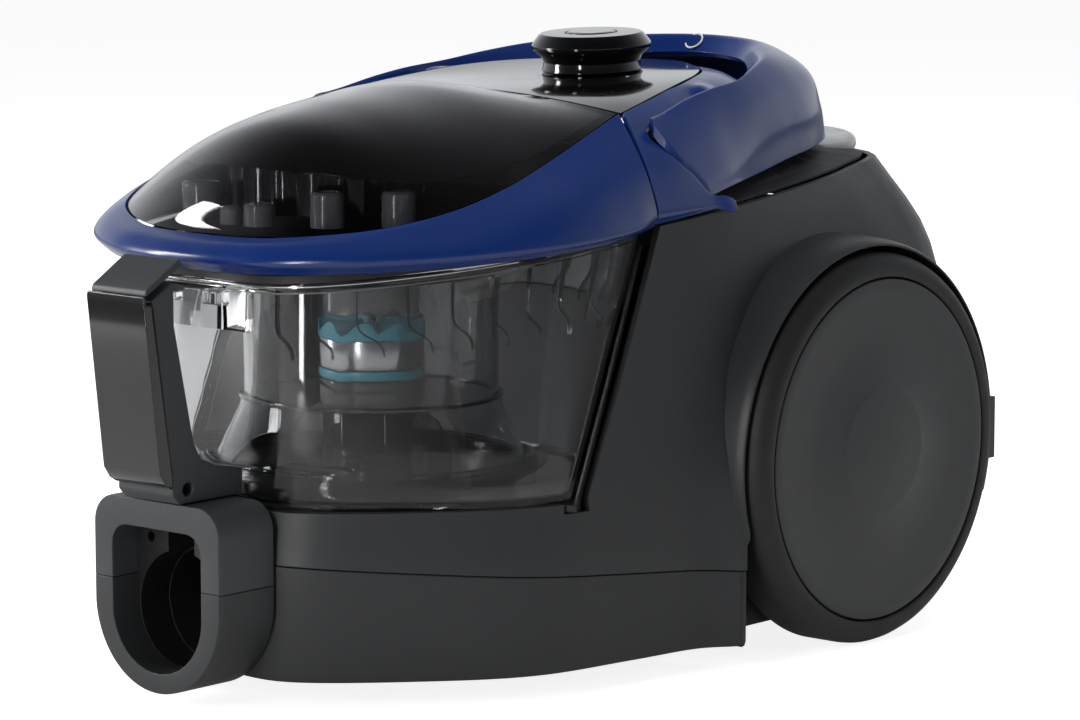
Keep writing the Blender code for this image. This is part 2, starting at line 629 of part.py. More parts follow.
PANEL = [  # half width, edge y, centre y, edge z, centre z
    (77.0, 0.6, -5.6, 218.7, 225.2), (73.9, 15, 10, 221.1, 225.3), (70.3, 28, 26, 223.0, 225.4),
    (66.2, 42, 42, 224.9, 225.6), (61.5, 57, 58, 226.7, 226.1), (55.0, 73, 76, 228.0, 226.9),
    (45.5, 88, 92, 228.7, 227.6), (31, 103.5, 108, 228.7, 228.1), (12, 118, 121.5, 228.7, 228.7),
]
HANDLE = [
    [(106.6, -4, 183), (106, -6, 190), (100.5, -5, 203), (92, -2, 215.5), (86, 0, 216.5)],
    [(105.6, 17, 185.5), (104.5, 14, 192), (99, 12, 205.5), (89.5, 12, 217.6), (84.5, 13, 216.5)],
    [(100.6, 40, 188.4), (100, 36, 197), (94.5, 33, 210.5), (85.8, 32, 222.2), (81.5, 33, 220.5)],
    [(95.5, 56, 189.6), (95, 53, 200), (90.5, 50, 214), (83.3, 50, 225.2), (79.5, 51, 222.6)],
    [(88.2, 78, 191.2), (88.8, 75, 203.5), (86.5, 72, 217.5), (80.3, 70, 227.3), (78.7, 69, 223.5)],
    [(82, 101.5, 193.9), (83, 99, 207.5), (80.5, 94, 221.5), (73, 89, 230.8), (68.5, 87, 224.5)],
    [(75, 126, 196), (75.5, 124.5, 210), (72, 118.5, 224.5), (63.5, 108.5, 233.8), (57.5, 103.5, 226.0)],
    [(63.5, 149.5, 198.2), (62.5, 147.5, 211.5), (60.2, 141.2, 226), (49, 127, 235.6), (44, 121, 228.0)],
    [(44, 167, 199.4), (43.5, 165, 212.5), (41, 157.5, 227.8), (32, 143, 236.8), (29, 135.5, 229.4)],
    [(22, 175.5, 200), (21.5, 174, 213), (20, 166, 228.6), (16, 150, 237.4), (14.5, 142.5, 230.2)],
    [(0, 178.5, 200.2), (0, 177, 213.2), (0, 169, 229), (0, 152.5, 237.6), (0, 145, 230.5)],
]
SEAM_DECK = [(150, 34.6), (107.8, 34.4), (106.6, 28), (105.2, 18.5), (102.6, 8), (97.5, 2.4), (92, 0.8), (87.5, 3.5),
             (84.8, 9), (83.4, 17), (82.2, 26), (81, 36), (80, 45), (81, 52), (150, 52)]
SEAM_HANDLE = [(150, 36.2), (107.4, 36.0), (105.3, 28.8), (103.8, 19.4), (101.4, 9.2), (97, 4.2), (92.2, 2.5),
               (88.6, 4.8), (86.2, 9.7), (84.8, 17.3), (83.6, 26.4), (82.4, 36.3), (81.4, 45.3), (80.8, 54),
               (60, 54), (50, 50), (50, -60), (150, -60)]


def band_grid(stations, nu, nv):
    """Grid through the right-hand stations, mirrored to the left past x = 0."""
    cols = []
    for k in range(len(stations[0])):
        line = [s[k] for s in stations]
        cols.append(smooth(line, nu, None, flip(line[-2])))
    cols = np.array(cols)
    rows = [smooth(cols[:, i], nv) for i in range(nu)]
    right = np.array(rows)
    left = right[:-1][::-1].copy()
    left[:, :, 0] *= -1
    return np.vstack([right, left])


def bow_grid(rows, nu, nv):
    """Grid across a dome given by half widths and centre-line heights."""
    data = smooth([np.array(r, float) for r in rows], nu)
    out = []
    for w, ye, yc, ze, zc in data:
        v = np.linspace(-1, 1, nv)
        out.append(np.stack([w * v, yc + (ye - yc) * v ** 2, ze + (zc - ze) * (1 - v ** 2)], 1))
    return np.array(out)


def lid():
    sheet("lid_ring", band_grid(LID, 15, 5), 2.2, "blue_gloss")
    sheet("lid_lens", bow_grid(LENS, 11, 9), 2.2, "lens_smoke")
    out = inset(cup_ring(1.0, 0), 0.2)
    inn = inset(cup_ring(1.0, 0), 11)
    rings = []
    out = flare(out, 9.0)
    for r, lift in ((out, 0.8), (out, 4.4), (inn, 4.4), (inn, 0.8)):
        q = r.copy()
        q[:, 2] = [z_rim(y) + lift for y in q[:, 1]]
        rings.append(q)
    loft("lid_frame", rings, "black_matte", (0, 0, 0), True)
    inner = [inset(cup_ring(1.0, 0), d) for d in (3.3, 6.6)]
    rings = []
    for r, lift in ((inner[0], -3.4), (inner[0], 0.4), (inner[1], 0.4), (inner[1], -3.4)):
        q = r.copy()
        q[:, 2] = [z_rim(y) + lift for y in q[:, 1]]
        rings.append(q)
    loft("lid_seal", rings, "soft_rubber", (0, 0, 0), True)


# ---- top of the body ---------------------------------------------------------
def top_cover():
    rim = [(0, 22), (40, 18.5), (70, 7), (98, -2), (101, 14), (100.5, 40), (92, 98), (81, 141), (63.5, 172), (0, 185.5)]
    foot = [(0, 22), (40, 18.5), (70, 7), (93, 0), (95, 14), (94.5, 40), (86, 96), (75, 137), (58, 165), (0, 179)]
    deck = [(0, 24), (38, 22), (62, 16), (76, 14), (78, 26), (77, 44), (68, 88), (56, 122), (44, 136), (0, 140)]

    def ring(xy, zfun, d=0.0):
        r = full(half([(x, y, 0) for x, y in xy], 24))
        r[:, 2] = [zfun(y) for y in r[:, 1]]
        return inset(r, d)
    rings = [ring(rim, lambda y: z_top(y) + 0.5), ring(rim, lambda y: z_top(y) + 1.6),
             ring(foot, lambda y: z_top(y) + 3.2), ring(deck, lambda y: 196.0),
             ring(deck, lambda y: 193.6, 1.4), ring(foot, lambda y: z_top(y) + 0.5, 2.6)]
    cover = loft("top_cover", rings, "black_matte", (0, 0, 0), True)
    gap = [ring(CAP_XY, lambda y: z, -CAP_GAP) for z in (180.0, 205.0)]
    boolean(cover, loft("cut_cover_cap", gap, None, (0, 0, 0), False, True))


def control_panel():
    panel = sheet("control_panel", bow_grid(PANEL, 11, 9), 2.2, "black_gloss")
    boolean(panel, lathe("cut_panel_shaft", [(4.9, -12), (4.9, 12)], None, (0, KNOB_Y, KNOB_Z), knob_axis(), 20,
                         False, True))
    box("control_pcb", (-42, 42), (36, 112), (200.0, 201.6), "pcb_green", (0, 74, 200))


def knob_axis():
    return (0, -math.sin(KNOB_TILT), math.cos(KNOB_TILT))


def knob():
    c = (0, KNOB_Y, KNOB_Z)
    prof = [(3.8, -16.5), (3.8, -0.1), (20.6, 0), (21, 0.6), (21, 6), (KNOB_R, 9), (KNOB_R, 11.2), (21.4, 15.4),
            (20.6, 15.7), (10.7, 15.7), (10.7, 9.2)]
    lathe("suction_dial", prof, "black_gloss", c, knob_axis(), 28)
    lathe("power_button", [(10.2, 12.1), (10.2, 15.5), (9.6, 16.0)], "black_gloss", c, knob_axis(), 24)


def deck_and_handle():
    deck = sheet("deck_trim", band_grid(DECK, 19, 4), 2.2, "blue_gloss")
    handle = sheet("carry_handle", band_grid(HANDLE, 14, 7), 3.0, "blue_gloss", (0, 42, 200))
    for side in (1, -1):
        for ob, seam in ((deck, SEAM_DECK), (handle, SEAM_HANDLE)):
            outline = [(side * x, y) for x, y in seam]
            boolean(ob, prism("cut_seam_%s%d" % (ob.name, side), outline, 150, 260, None, "XY", (0, 0, 0), True))
    rings = []
    for d, z in ((1.5, 0.6), (0.0, 1.8), (0.6, 4.2), (2.6, 5.2)):
        r = full(half([(x, y, 0) for x, y in CAP_XY], 18))
        r[:, 2] = [z_top(y) + z * cap_rise(y) for y in r[:, 1]]
        rings.append(inset(r, d))
    loft("rear_cap", rings, "grey_gloss")


# ---- rear --------------------------------------------------------------------
def exhaust():
    zs = np.linspace(88.6, 165.7, 5)
    xs = np.linspace(-55.4, 55.4, 5)
    grid = []
    for z in zs:
        yc = np.interp(z, [77, 127, 160, 178], [198.0, 198.0, 196.0, 192.4])
        grid.append([(x, yc - 9.6 * (x / 92.0) ** 2, z) for x in xs])
    g = np.array(grid)
    nu, nv = g.shape[:2]
    back = g.copy()
    back[:, :, 1] -= 2.6
    verts = np.vstack([g.reshape(-1, 3), back.reshape(-1, 3)])
    off = nu * nv
    faces = []
    for i in range(nu - 1):
        for j in range(nv - 1):
            a, b, c, d = i * nv + j, i * nv + j + 1, (i + 1) * nv + j + 1, (i + 1) * nv + j
            faces.append((a, b, c, d))
            faces.append((off + d, off + c, off + b, off + a))
    rim = [i * nv for i in range(nu)] + [(nu - 1) * nv + j for j in range(1, nv)]
    rim += [i * nv + nv - 1 for i in range(nu - 2, -1, -1)] + [j for j in range(nv - 2, 0, -1)]
    for k in range(len(rim)):
        a, b = rim[k], rim[(k + 1) % len(rim)]
        faces.append((a, b, off + b, off + a))
    cover = write("exhaust_cover", verts, faces, "body_grey", (0, 197.5, 88.6))
    for k in range(5):
        z = 100 + 13.0 * k
        boolean(cover, box("cut_louvre%d" % k, (-44, 44), (180, 210), (z, z + 5.0), None, (0, 0, 0), True))
    pleats = []
    for k in range(15):
        x = -48 + 96 * k / 14
        pleats.append((x, 184.0 if k % 2 else 176.0))
    outline = pleats + [(x, y - 4.0) for x, y in pleats[::-1]]
    prism("hepa_filter", outline, 91, 164, "filter_paper", "XY")
    lathe("cord_outlet", [(4.6, -8), (8.0, -8), (8.0, 1.0), (10.5, 1.2), (10.5, 3.0), (4.6, 3.0)], "soft_rubber",
          (-40, 195.4, 62), (0, 1, 0), 16, True)
    foot = [(86, 193.4), (93, 190.4), (98, 187.2), (117, 187.2), (117, FOOT_BACK), (87, FOOT_BACK)]
    prism("rear_foot_right", foot, 62, 88, "body_grey", "XY")
    prism("rear_foot_left", [(-x, y) for x, y in foot], 62, 88, "body_grey", "XY")


# ---- wheels ------------------------------------------------------------------
def wheels():
    for side, tag in ((1, "right"), (-1, "left")):
        c = (0, WHEEL_Y, WHEEL_R)
        ax = (side, 0, 0)
        x = WHEEL_OUT
        tyre = [(66, WHEEL_IN), (76, WHEEL_IN), (WHEEL_R, WHEEL_IN + 3), (WHEEL_R, x - 8), (78.6, x - 4.5),
                (76.6, x - 1.6), (74, x), (CAP_R + 0.6, x), (CAP_R + 0.6, x - 6), (66, x - 6)]
        lathe("tyre_" + tag, tyre, "tyre_rubber", c, ax, 28, True)
        rim = [(6.6, 106.5), (12, 106.5), (12, 112), (65.6, 112), (65.6, x - 6.4), (6.6, x - 6.4)]
        lathe("wheel_hub_" + tag, rim, "black_matte", c, ax, 20, True)
        cap = [(CAP_R, x - 5.9), (CAP_R, x - 0.6), (CAP_R - 1.0, x), (58, x - 0.6), (40, x - 1.6),
               (24, CAP_OUT - 2.0), (14, CAP_OUT - 0.3), (5, CAP_OUT)]
        lathe("wheel_cap_" + tag, cap, "wheel_grey", c, ax, 28)
        axle = [(4.0, 92), (6.0, 92.6), (6.0, 126.2), (4.0, 126.8)]
        lathe("wheel_axle_" + tag, axle, "steel", c, ax, 14)


def caster():
    c = (0, CASTER_Y, 0)
    fork = lathe("caster_fork", [(13, 27.0), (13, 29.6), (3.1, 29.6), (3.1, 37.0)], "black_matte", c, (0, 0, 1), 20)
    for side in (1, -1):
        y0 = CASTER_Y + CASTER_TRAIL
        leg = [(CASTER_Y - 7, 28), (y0 + 6, 28), (y0 + 4, 9), (y0 - 4, 9)]
        boolean(fork, prism("add_fork_leg%d" % side, leg, min(side * 7.6, side * 9.8), max(side * 7.6, side * 9.8),
                            None, "YZ", (0, 0, 0), True), "UNION")
    w = (0, CASTER_Y + CASTER_TRAIL, CASTER_R)
    lathe("caster_wheel", [(2.0, -7), (11, -7), (CASTER_R, -5.5), (CASTER_R, 5.5), (11, 7), (2.0, 7)],
          "tyre_rubber", w, (1, 0, 0), 20)


# ---- inside ------------------------------------------------------------------
def motor():
    c = (0, 0, MOTOR_Z)
    y = (0, 1, 0)
    lathe("motor_housing", [(20, 42), (50, 42), (50, 138), (26, 138), (26, 135.5), (47.5, 135.5), (47.5, 44.5),
                            (20, 44.5)], "black_matte", c, y, 18, True)
    lathe("motor_mount_front", [(50.4, 46), (54, 46), (54, 54), (50.4, 54)], "soft_rubber", c, y, 18, True)
    lathe("motor_mount_rear", [(50.4, 126), (54, 126), (54, 134), (50.4, 134)], "soft_rubber", c, y, 18, True)
    lathe("motor_stator", [(23, 76), (39, 76), (39, 114), (23, 114)], "copper", c, y, 16, True)
    lathe("motor_fan", [(6, 50), (43, 50), (43, 60), (6, 60)], "steel", c, y, 16, True)
    lathe("motor_rotor", [(4, 47), (5.6, 48), (5.6, 76), (21.5, 78), (21.5, 112), (5.6, 114), (5.6, 130),
                          (4, 131)], "steel", c, y, 12)


def filters_and_reel():
    frame = box("prefilter_frame", (-52, 52), (21.5, 35), (94, 170), "black_matte")
    boolean(frame, box("cut_prefilter", (-46, 46), (10, 50), (100, 164), None, (0, 0, 0), True))
    box("prefilter_sponge", (-45.6, 45.6), (22.5, 34), (100.4, 163.6), "foam")
    c = (0, REEL_Y, 0)
    lathe("cord_reel", [(7, 16), (60, 16), (60, 18), (28, 18), (28, 46), (60, 46), (60, 48), (7, 48)],
          "black_matte", c, (0, 0, 1), 20, True)
    lathe("reel_axle", [(6.4, 12.4), (6.4, 51), (5.4, 52)], "steel", c, (0, 0, 1), 12)
    lathe("brake_roller", [(6.0, 42), (6.0, 52)], "soft_rubber", (-47.2, 167.2, 0), (0, 0, 1), 14)


def main():
    clear()
    materials()
    body_shell()
    base_housing()
    base_screws()
    collars()
    inlet_socket()
    inlet_duct()
    bay_liner()
    dust_cup()
    cyclone()
    turbine()
    grip()
    lid()
    top_cover()
    control_panel()
    knob()
    deck_and_handle()
    exhaust()
    wheels()
    caster()
    motor()
    filters_and_reel()
    bpy.context.view_layer.update()


main()
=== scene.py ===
"""Looks of the canister vacuum cleaner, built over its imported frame.

Lengths are millimetres in the frame's axes; MM turns them into metres when a mesh is written.
The camera, the lamps and the floor are in metres.
"""
import math

import bmesh
import bpy
import numpy as np
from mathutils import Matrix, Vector


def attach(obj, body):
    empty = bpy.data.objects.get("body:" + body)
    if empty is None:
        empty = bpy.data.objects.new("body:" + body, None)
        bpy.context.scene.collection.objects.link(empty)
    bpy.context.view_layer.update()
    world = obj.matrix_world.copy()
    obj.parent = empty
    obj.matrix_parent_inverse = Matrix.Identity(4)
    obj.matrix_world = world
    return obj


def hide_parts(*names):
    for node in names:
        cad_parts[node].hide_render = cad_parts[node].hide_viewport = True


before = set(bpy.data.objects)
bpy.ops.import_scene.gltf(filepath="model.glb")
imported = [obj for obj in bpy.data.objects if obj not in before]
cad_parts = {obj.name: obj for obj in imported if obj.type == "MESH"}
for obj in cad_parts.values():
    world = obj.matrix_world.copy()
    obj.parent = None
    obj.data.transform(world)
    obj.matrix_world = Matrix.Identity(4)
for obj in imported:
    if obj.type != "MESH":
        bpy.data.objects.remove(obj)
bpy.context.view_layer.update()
MM = 0.001
SHARP = math.radians(36)
BEVEL_ANGLE = math.radians(38)
UP = (0, 0, 1)
ALONG = (0, 1, 0)
ACROSS = (1, 0, 0)


# ---- camera, light and floor -------------------------------------------------
CAMERA_PLACE = (1.21066, -1.34599, 0.37604)
CAMERA_LOOK = (-0.65081, 0.74559, -0.14329)
FOCAL_LENGTH = 150.5
SENSOR_WIDTH = 36.0
VIEW_DEPTH = 60.0

WHITE = (1.0, 1.0, 1.0, 1.0)
WORLD_TINT = (0.80, 0.82, 0.85, 1.0)
BRIGHT_SIDE = (-0.657, 0.753, 0.0)
# where the fade starts and ends, then the strengths it gives there
HEIGHT_FADE = (0.02, 0.95, 0.95, 0.08)
SIDE_FADE = (-0.55, 0.85, 0.14, 1.0)

# name, place, aim, width and height, watts, and whether glossy surfaces mirror it
LAMPS = [
    ("top_box", (0.15, 0.1, 1.7), (0, 0, 0.1), (1.5, 1.1), 13, False),
    ("rear_strip", (-0.9, 1.3, 1.1), (0, 0.05, 0.2), (1.4, 0.35), 13, False),
    ("right_box", (1.9, 0.7, 0.9), (0.05, 0.05, 0.12), (0.4, 0.9), 5, False),
    ("front_box", (0.2, -1.9, 1.0), (0, -0.1, 0.12), (0.5, 0.7), 7, False),
    ("left_strip", (-1.3, -1.0, 0.6), (-0.05, -0.1, 0.12), (0.30, 1.0), 17, True),
    ("glint", (0.35, -1.7, 0.45), (0, -0.1, 0.12), (0.14, 0.9), 8, True),
]

FLOOR_REACH = 14.0
FLOOR_GREY = (0.60, 0.60, 0.60, 1.0)
FLOOR_GLOW = 0.10
FLOOR_GLOW_SEEN = 0.86


def aimed(name, data, place, direction):
    """Put a camera or a lamp at place, looking along direction."""
    ob = bpy.data.objects.new(name, data)
    bpy.context.scene.collection.objects.link(ob)
    ob.location = place
    ob.rotation_euler = Vector(direction).to_track_quat('-Z', 'Y').to_euler()
    return ob


def camera():
    cam = bpy.data.cameras.new("camera")
    cam.lens = FOCAL_LENGTH
    cam.sensor_width = SENSOR_WIDTH
    cam.clip_end = VIEW_DEPTH
    bpy.context.scene.camera = aimed("camera", cam, CAMERA_PLACE, CAMERA_LOOK)


def softbox(name, place, aim, size, power, mirrored):
    lamp = bpy.data.lights.new(name, 'AREA')
    lamp.shape = 'RECTANGLE'
    lamp.size = size[0]
    lamp.size_y = size[1]
    lamp.energy = power
    ob = aimed(name, lamp, place, Vector(aim) - Vector(place))
    ob.visible_glossy = mirrored
    ob.visible_transmission = mirrored


def fade(nt, value, limits):
    """Smooth step of value between the limits."""
    span = dict(zip(("From Min", "From Max", "To Min", "To Max"), limits), Value=value)
    node = add(nt, "ShaderNodeMapRange", span)
    node.interpolation_type = 'SMOOTHSTEP'
    return node.outputs["Result"]


def world_strength(nt):
    """Brightest near the horizon and towards BRIGHT_SIDE."""
    direction = add(nt, "ShaderNodeTexCoord").outputs["Generated"]
    height = add(nt, "ShaderNodeSeparateXYZ", {0: direction}).outputs["Z"]
    side = add(nt, "ShaderNodeVectorMath", {0: direction, 1: BRIGHT_SIDE})
    side.operation = 'DOT_PRODUCT'
    both = add(nt, "ShaderNodeMath", {0: fade(nt, height, HEIGHT_FADE),
                                      1: fade(nt, side.outputs["Value"], SIDE_FADE)})
    both.operation = 'MULTIPLY'
    return both.outputs["Value"]


def studio():
    """Soft lamps in a fading world, which the camera itself sees as plain white."""
    world = bpy.data.worlds.new("studio")
    bpy.context.scene.world = world
    world.use_nodes = True
    nt = world.node_tree
    back = fill(nt, nt.nodes["Background"], {"Color": WORLD_TINT, "Strength": world_strength(nt)})
    plain = add(nt, "ShaderNodeBackground", {"Color": WHITE, "Strength": 1.0})
    seen = add(nt, "ShaderNodeLightPath").outputs["Is Camera Ray"]
    mix = add(nt, "ShaderNodeMixShader", {0: seen, 1: back.outputs[0], 2: plain.outputs[0]})
    fill(nt, nt.nodes["World Output"], {"Surface": mix.outputs[0]})
    for lamp in LAMPS:
        softbox(*lamp)
    bpy.context.scene.view_settings.view_transform = 'Standard'


def floor():
    """Plain pale floor that glows softly, more so where the camera sees it."""
    reach = FLOOR_REACH
    corners = [(-reach, -reach, 0), (reach, -reach, 0), (reach, reach, 0), (-reach, reach, 0)]
    me = bpy.data.meshes.new("floor")
    me.from_pydata(corners, [], [(0, 1, 2, 3)])
    ob = bpy.data.objects.new("floor", me)
    bpy.context.scene.collection.objects.link(ob)
    mat, nt, bsdf = principled("pale_floor")
    seen = add(nt, "ShaderNodeLightPath").outputs["Is Camera Ray"]
    glow = add(nt, "ShaderNodeMapRange", {"To Min": FLOOR_GLOW, "To Max": FLOOR_GLOW_SEEN, "Value": seen})
    fill(nt, bsdf, {"Base Color": FLOOR_GREY, "Roughness": 0.8, "Specular IOR Level": 0.0,
                    "Emission Color": WHITE, "Emission Strength": glow.outputs["Result"]})
    me.materials.append(mat)


# ---- materials ---------------------------------------------------------------
GRAIN_HEIGHT = 0.0002
RIPPLE_HEIGHT = 0.001
RIPPLE = 0.02
POINTED = (0.515, 0.60)  # pointiness where an edge starts to look worn, and is fully worn
MID_NOISE = (0.3, 0.7)


def fill(nt, node, inputs):
    """Set each input to a value, or link it when it is given another node's socket."""
    for key, val in inputs.items():
        if isinstance(val, bpy.types.NodeSocket):
            nt.links.new(val, node.inputs[key])
        else:
            node.inputs[key].default_value = val
    return node


def add(nt, kind, inputs=()):
    return fill(nt, nt.nodes.new(kind), dict(inputs))


def principled(name):
    """A new material with its node tree and its main shader."""
    mat = bpy.data.materials.new(name)
    mat.use_nodes = True
    return mat, mat.node_tree, mat.node_tree.nodes["Principled BSDF"]


def noise(nt, scale, detail=2.0, rough=0.5):
    place = add(nt, "ShaderNodeTexCoord").outputs["Object"]
    tex = {"Scale": scale, "Detail": detail, "Roughness": rough, "Vector": place}
    return add(nt, "ShaderNodeTexNoise", tex).outputs["Fac"]


def spread(nt, value, lo, hi, within=MID_NOISE):
    """Map value, from the range it lies within, to lo and hi."""
    span = {"From Min": within[0], "From Max": within[1], "To Min": lo, "To Max": hi, "Value": value}
    return add(nt, "ShaderNodeMapRange", span).outputs["Result"]


def colour_socket(sockets, name):
    return [s for s in sockets if s.name == name and s.type == 'RGBA'][0]


def blend_colour(nt, fac, a, b):
    """Mix two colours, each a tuple or another node's output."""
    node = add(nt, "ShaderNodeMix", {"Factor": fac})
    node.data_type = 'RGBA'
    for name, val in (("A", a), ("B", b)):
        sock = colour_socket(node.inputs, name)
        if isinstance(val, tuple):
            sock.default_value = (*val, 1.0)
        else:
            nt.links.new(val, sock)
    return colour_socket(node.outputs, "Result")


def shade(rgb, k):
    return tuple(min(c * k, 1.0) for c in rgb)


def bump(nt, height, strength, distance):
    return add(nt, "ShaderNodeBump", {"Strength": strength, "Distance": distance, "Height": height})


def grain(nt, size, depth, round_edge):
    """Fine moulded texture over a softly rounded edge."""
    node = bump(nt, noise(nt, size, 3.0, 0.6), depth, GRAIN_HEIGHT)
    if round_edge:
        edge = add(nt, "ShaderNodeBevel", {"Radius": round_edge * MM})
        edge.samples = 6
        fill(nt, node, {"Normal": edge.outputs["Normal"]})
    return node.outputs["Normal"]


def worn(nt, colour, edge, amount):
    """Lighten the outer edges a little, as handling does."""
    geo = nt.nodes.new("ShaderNodeNewGeometry")
    return blend_colour(nt, spread(nt, geo.outputs["Pointiness"], 0.0, amount, POINTED), colour, edge)


def moulded(name, rgb, rough, texture, depth, vary=0.04, edge=0.5, coat=0.0, metal=0.0):
    """Opaque moulding or metal with cloudy colour, uneven gloss, fine grain and worn edges."""
    mat, nt, bsdf = principled(name)
    cloud = spread(nt, noise(nt, 11.0, 4.0), 0.0, 1.0)
    base = blend_colour(nt, cloud, shade(rgb, 0.94), shade(rgb, 1.06))
    gloss = spread(nt, noise(nt, 140.0, 5.0, 0.65), rough - vary, rough + vary)
    fill(nt, bsdf, {"Base Color": worn(nt, base, shade(rgb, 1.9), 0.35), "Roughness": gloss,
                    "Metallic": metal, "Coat Weight": coat, "Coat Roughness": 0.05,
                    "Normal": grain(nt, texture, depth, edge)})
    mat.diffuse_color = (*rgb, 1.0)
    return mat


def clear(name, rgb, rough, ior=1.46, shadow=0.85):
    """Clear moulding that lets the lamps' light through to what it holds."""
    mat, nt, bsdf = principled(name)
    gloss = spread(nt, noise(nt, 60.0, 4.0), max(rough - 0.01, 0.0), rough + 0.02)
    ripple = bump(nt, noise(nt, 30.0, 2.0), RIPPLE, RIPPLE_HEIGHT)
    fill(nt, bsdf, {"Base Color": (*rgb, 1.0), "Transmission Weight": 1.0, "IOR": ior, "Roughness": gloss,
                    "Normal": ripple.outputs["Normal"]})
    through = add(nt, "ShaderNodeBsdfTransparent", {"Color": (*shade(rgb, shadow), 1.0)})
    shadowed = add(nt, "ShaderNodeLightPath").outputs["Is Shadow Ray"]
    mix = add(nt, "ShaderNodeMixShader", {0: shadowed, 1: bsdf.outputs[0], 2: through.outputs[0]})
    fill(nt, nt.nodes["Material Output"], {"Surface": mix.outputs[0]})
    mat.diffuse_color = (*rgb, 0.4)
    return mat


# colour, roughness, grain's scale and depth; then spread of roughness, soft edge, coat, metal
MOULDED = {
    "body_grey": ((0.0245, 0.0258, 0.0275), 0.40, 1500.0, 0.10),
    "base_grey": ((0.0225, 0.0236, 0.0250), 0.44, 1500.0, 0.12),
    "collar_grey": ((0.030, 0.033, 0.036), 0.42, 1300.0, 0.10),
    "blue_gloss": ((0.0055, 0.0260, 0.1450), 0.23, 260.0, 0.010, 0.02, 0.6, 0.25),
    "black_gloss": ((0.0035, 0.0035, 0.0040), 0.10, 220.0, 0.006, 0.02, 0.5, 0.6),
    "black_matte": ((0.0080, 0.0080, 0.0090), 0.52, 1100.0, 0.12),
    "grey_gloss": ((0.30, 0.31, 0.32), 0.18, 300.0, 0.01, 0.03, 0.5, 0.5),
    "silver_smoke": ((0.11, 0.113, 0.118), 0.16, 400.0, 0.02, 0.03, 0.3, 0.5),
    "mark_white": ((0.75, 0.76, 0.78), 0.4, 400.0, 0.02),
    "teal": ((0.004, 0.17, 0.22), 0.25, 500.0, 0.03, 0.04, 0.3, 0.2),
    "silver": ((0.62, 0.62, 0.64), 0.18, 700.0, 0.02, 0.04, 0.3, 0.0, 1.0),
    "tyre_rubber": ((0.0125, 0.0130, 0.0140), 0.55, 1900.0, 0.20, 0.05, 0.8),
    "wheel_grey": ((0.0330, 0.0345, 0.0365), 0.42, 1500.0, 0.10),
    "steel": ((0.50, 0.50, 0.51), 0.28, 500.0, 0.04, 0.06, 0.3, 0.0, 1.0),
    "copper": ((0.55, 0.22, 0.10), 0.35, 500.0, 0.05, 0.05, 0.3, 0.0, 1.0),
    "foam": ((0.06, 0.065, 0.075), 0.95, 700.0, 0.8, 0.03, 0.0),
    "filter_paper": ((0.65, 0.65, 0.62), 0.9, 900.0, 0.4, 0.05, 0.0),
    "pcb_green": ((0.01, 0.10, 0.04), 0.45, 400.0, 0.05),
    "soft_rubber": ((0.010, 0.010, 0.011), 0.75, 1300.0, 0.2),
}
# colour, roughness; then refractive index and how much light its shadow lets through
CLEAR = {
    "clear_smoke": ((0.84, 0.845, 0.85), 0.01, 1.46, 1.1),
    "frosted": ((0.88, 0.89, 0.90), 0.10, 1.4, 1.0),
    "smoke_dark": ((0.30, 0.31, 0.33), 0.05),
    "lens_smoke": ((0.60, 0.60, 0.62), 0.01),
}
MATERIALS = {name: moulded(name, *row) for name, row in MOULDED.items()}
MATERIALS.update({name: clear(name, *row) for name, row in CLEAR.items()})


# ---- shape: driving dimensions, as in the frame ------------------------------
WHEEL_Y = 98.0
WHEEL_R = 79.5
WHEEL_IN = 108.5
WHEEL_OUT = 133.4
CAP_R = 69.2
CAP_OUT = 136.0
WELL_R = 82.0
WELL_X = 104.0
LIP_X = 128.0
BASE_Z = 10.0
SHELL_T = 3.0
SEAM_Y = 19.7
BORE_R = 22.5
BORE_Z = 36.5
COLLAR_FRONT = -179.5
COLLAR_BACK = -151.2
COLLAR_W = 34.4
COLLAR_IN = 23.6
COLLAR_TOP = 79.6
COLLAR_BOT = 5.8
PORT_Y = -98.0
TRAY_Z = 74.8
CYC_Y = -60.0
CYC_R = 50.0
TURB_R = 21.0
KNOB_Y = 73.7
KNOB_Z = 227.3
KNOB_R = 24.7
KNOB_TILT = math.radians(2.5)
CASTER_Y = -45.0
GRIP_W = 15.4
GRIP_FRONT = -199.0
BELOW = -30

# plan outlines of the grey body, right half, front centre to rear centre
XY_BASE = [(0, -149.2), (38, -148), (78, -111.5), (102.5, -76), (111.5, -30), (116.5, 2), (126.5, 19),
           (126, 40), (118, 100), (110, 152), (90, 184), (0, 194)]
XY_TRAY = [(0, -148), (38, -146), (77.5, -110.5), (101.5, -74), (110, -30), (115.5, 2), (126, 19),
           (125, 40), (117, 100), (112, 156), (92, 188), (0, 198)]
XY_MID = [(0, -146), (38, -143), (76, -108), (99, -72), (106.5, -30), (109.5, 2), (112, 20),
          (114, 42), (113, 98), (111, 154), (93, 187), (0, 198)]
XY_HIGH = [(0, -144), (38, -141), (75, -106), (97, -70), (104, -30), (106.5, 2), (107.5, 20),
           (107, 42), (104, 98), (101, 150), (86, 184), (0, 196)]
XY_TOP = [(0, -142), (38, -139), (74, -104), (96, -68), (103.5, -28), (105, 2), (105, 20),
          (104, 42), (96, 98), (84, 143), (66, 177), (0, 190)]

# plan outline of the grey cap at the rear top edge
CAP_XY = [(0, 153.5), (30, 153), (52, 152), (61, 160), (60.5, 173), (50, 186), (28, 191.5), (0, 193)]


def z_part(y):
    return 55.0 - 0.087 * (y + 150.0)


def z_top(y):
    return 177.0 + 0.0688 * (y + 11.0)


def z_rim(y):
    return 161.5 + 0.108 * (y + 150.0)


def cap_rise(y):
    return 1.0 + 0.38 * min(max((y - 173.0) / 17.0, 0.0), 1.0)


def y_edge(z):
    return -61.0 + 0.444 * (z - 74.0)


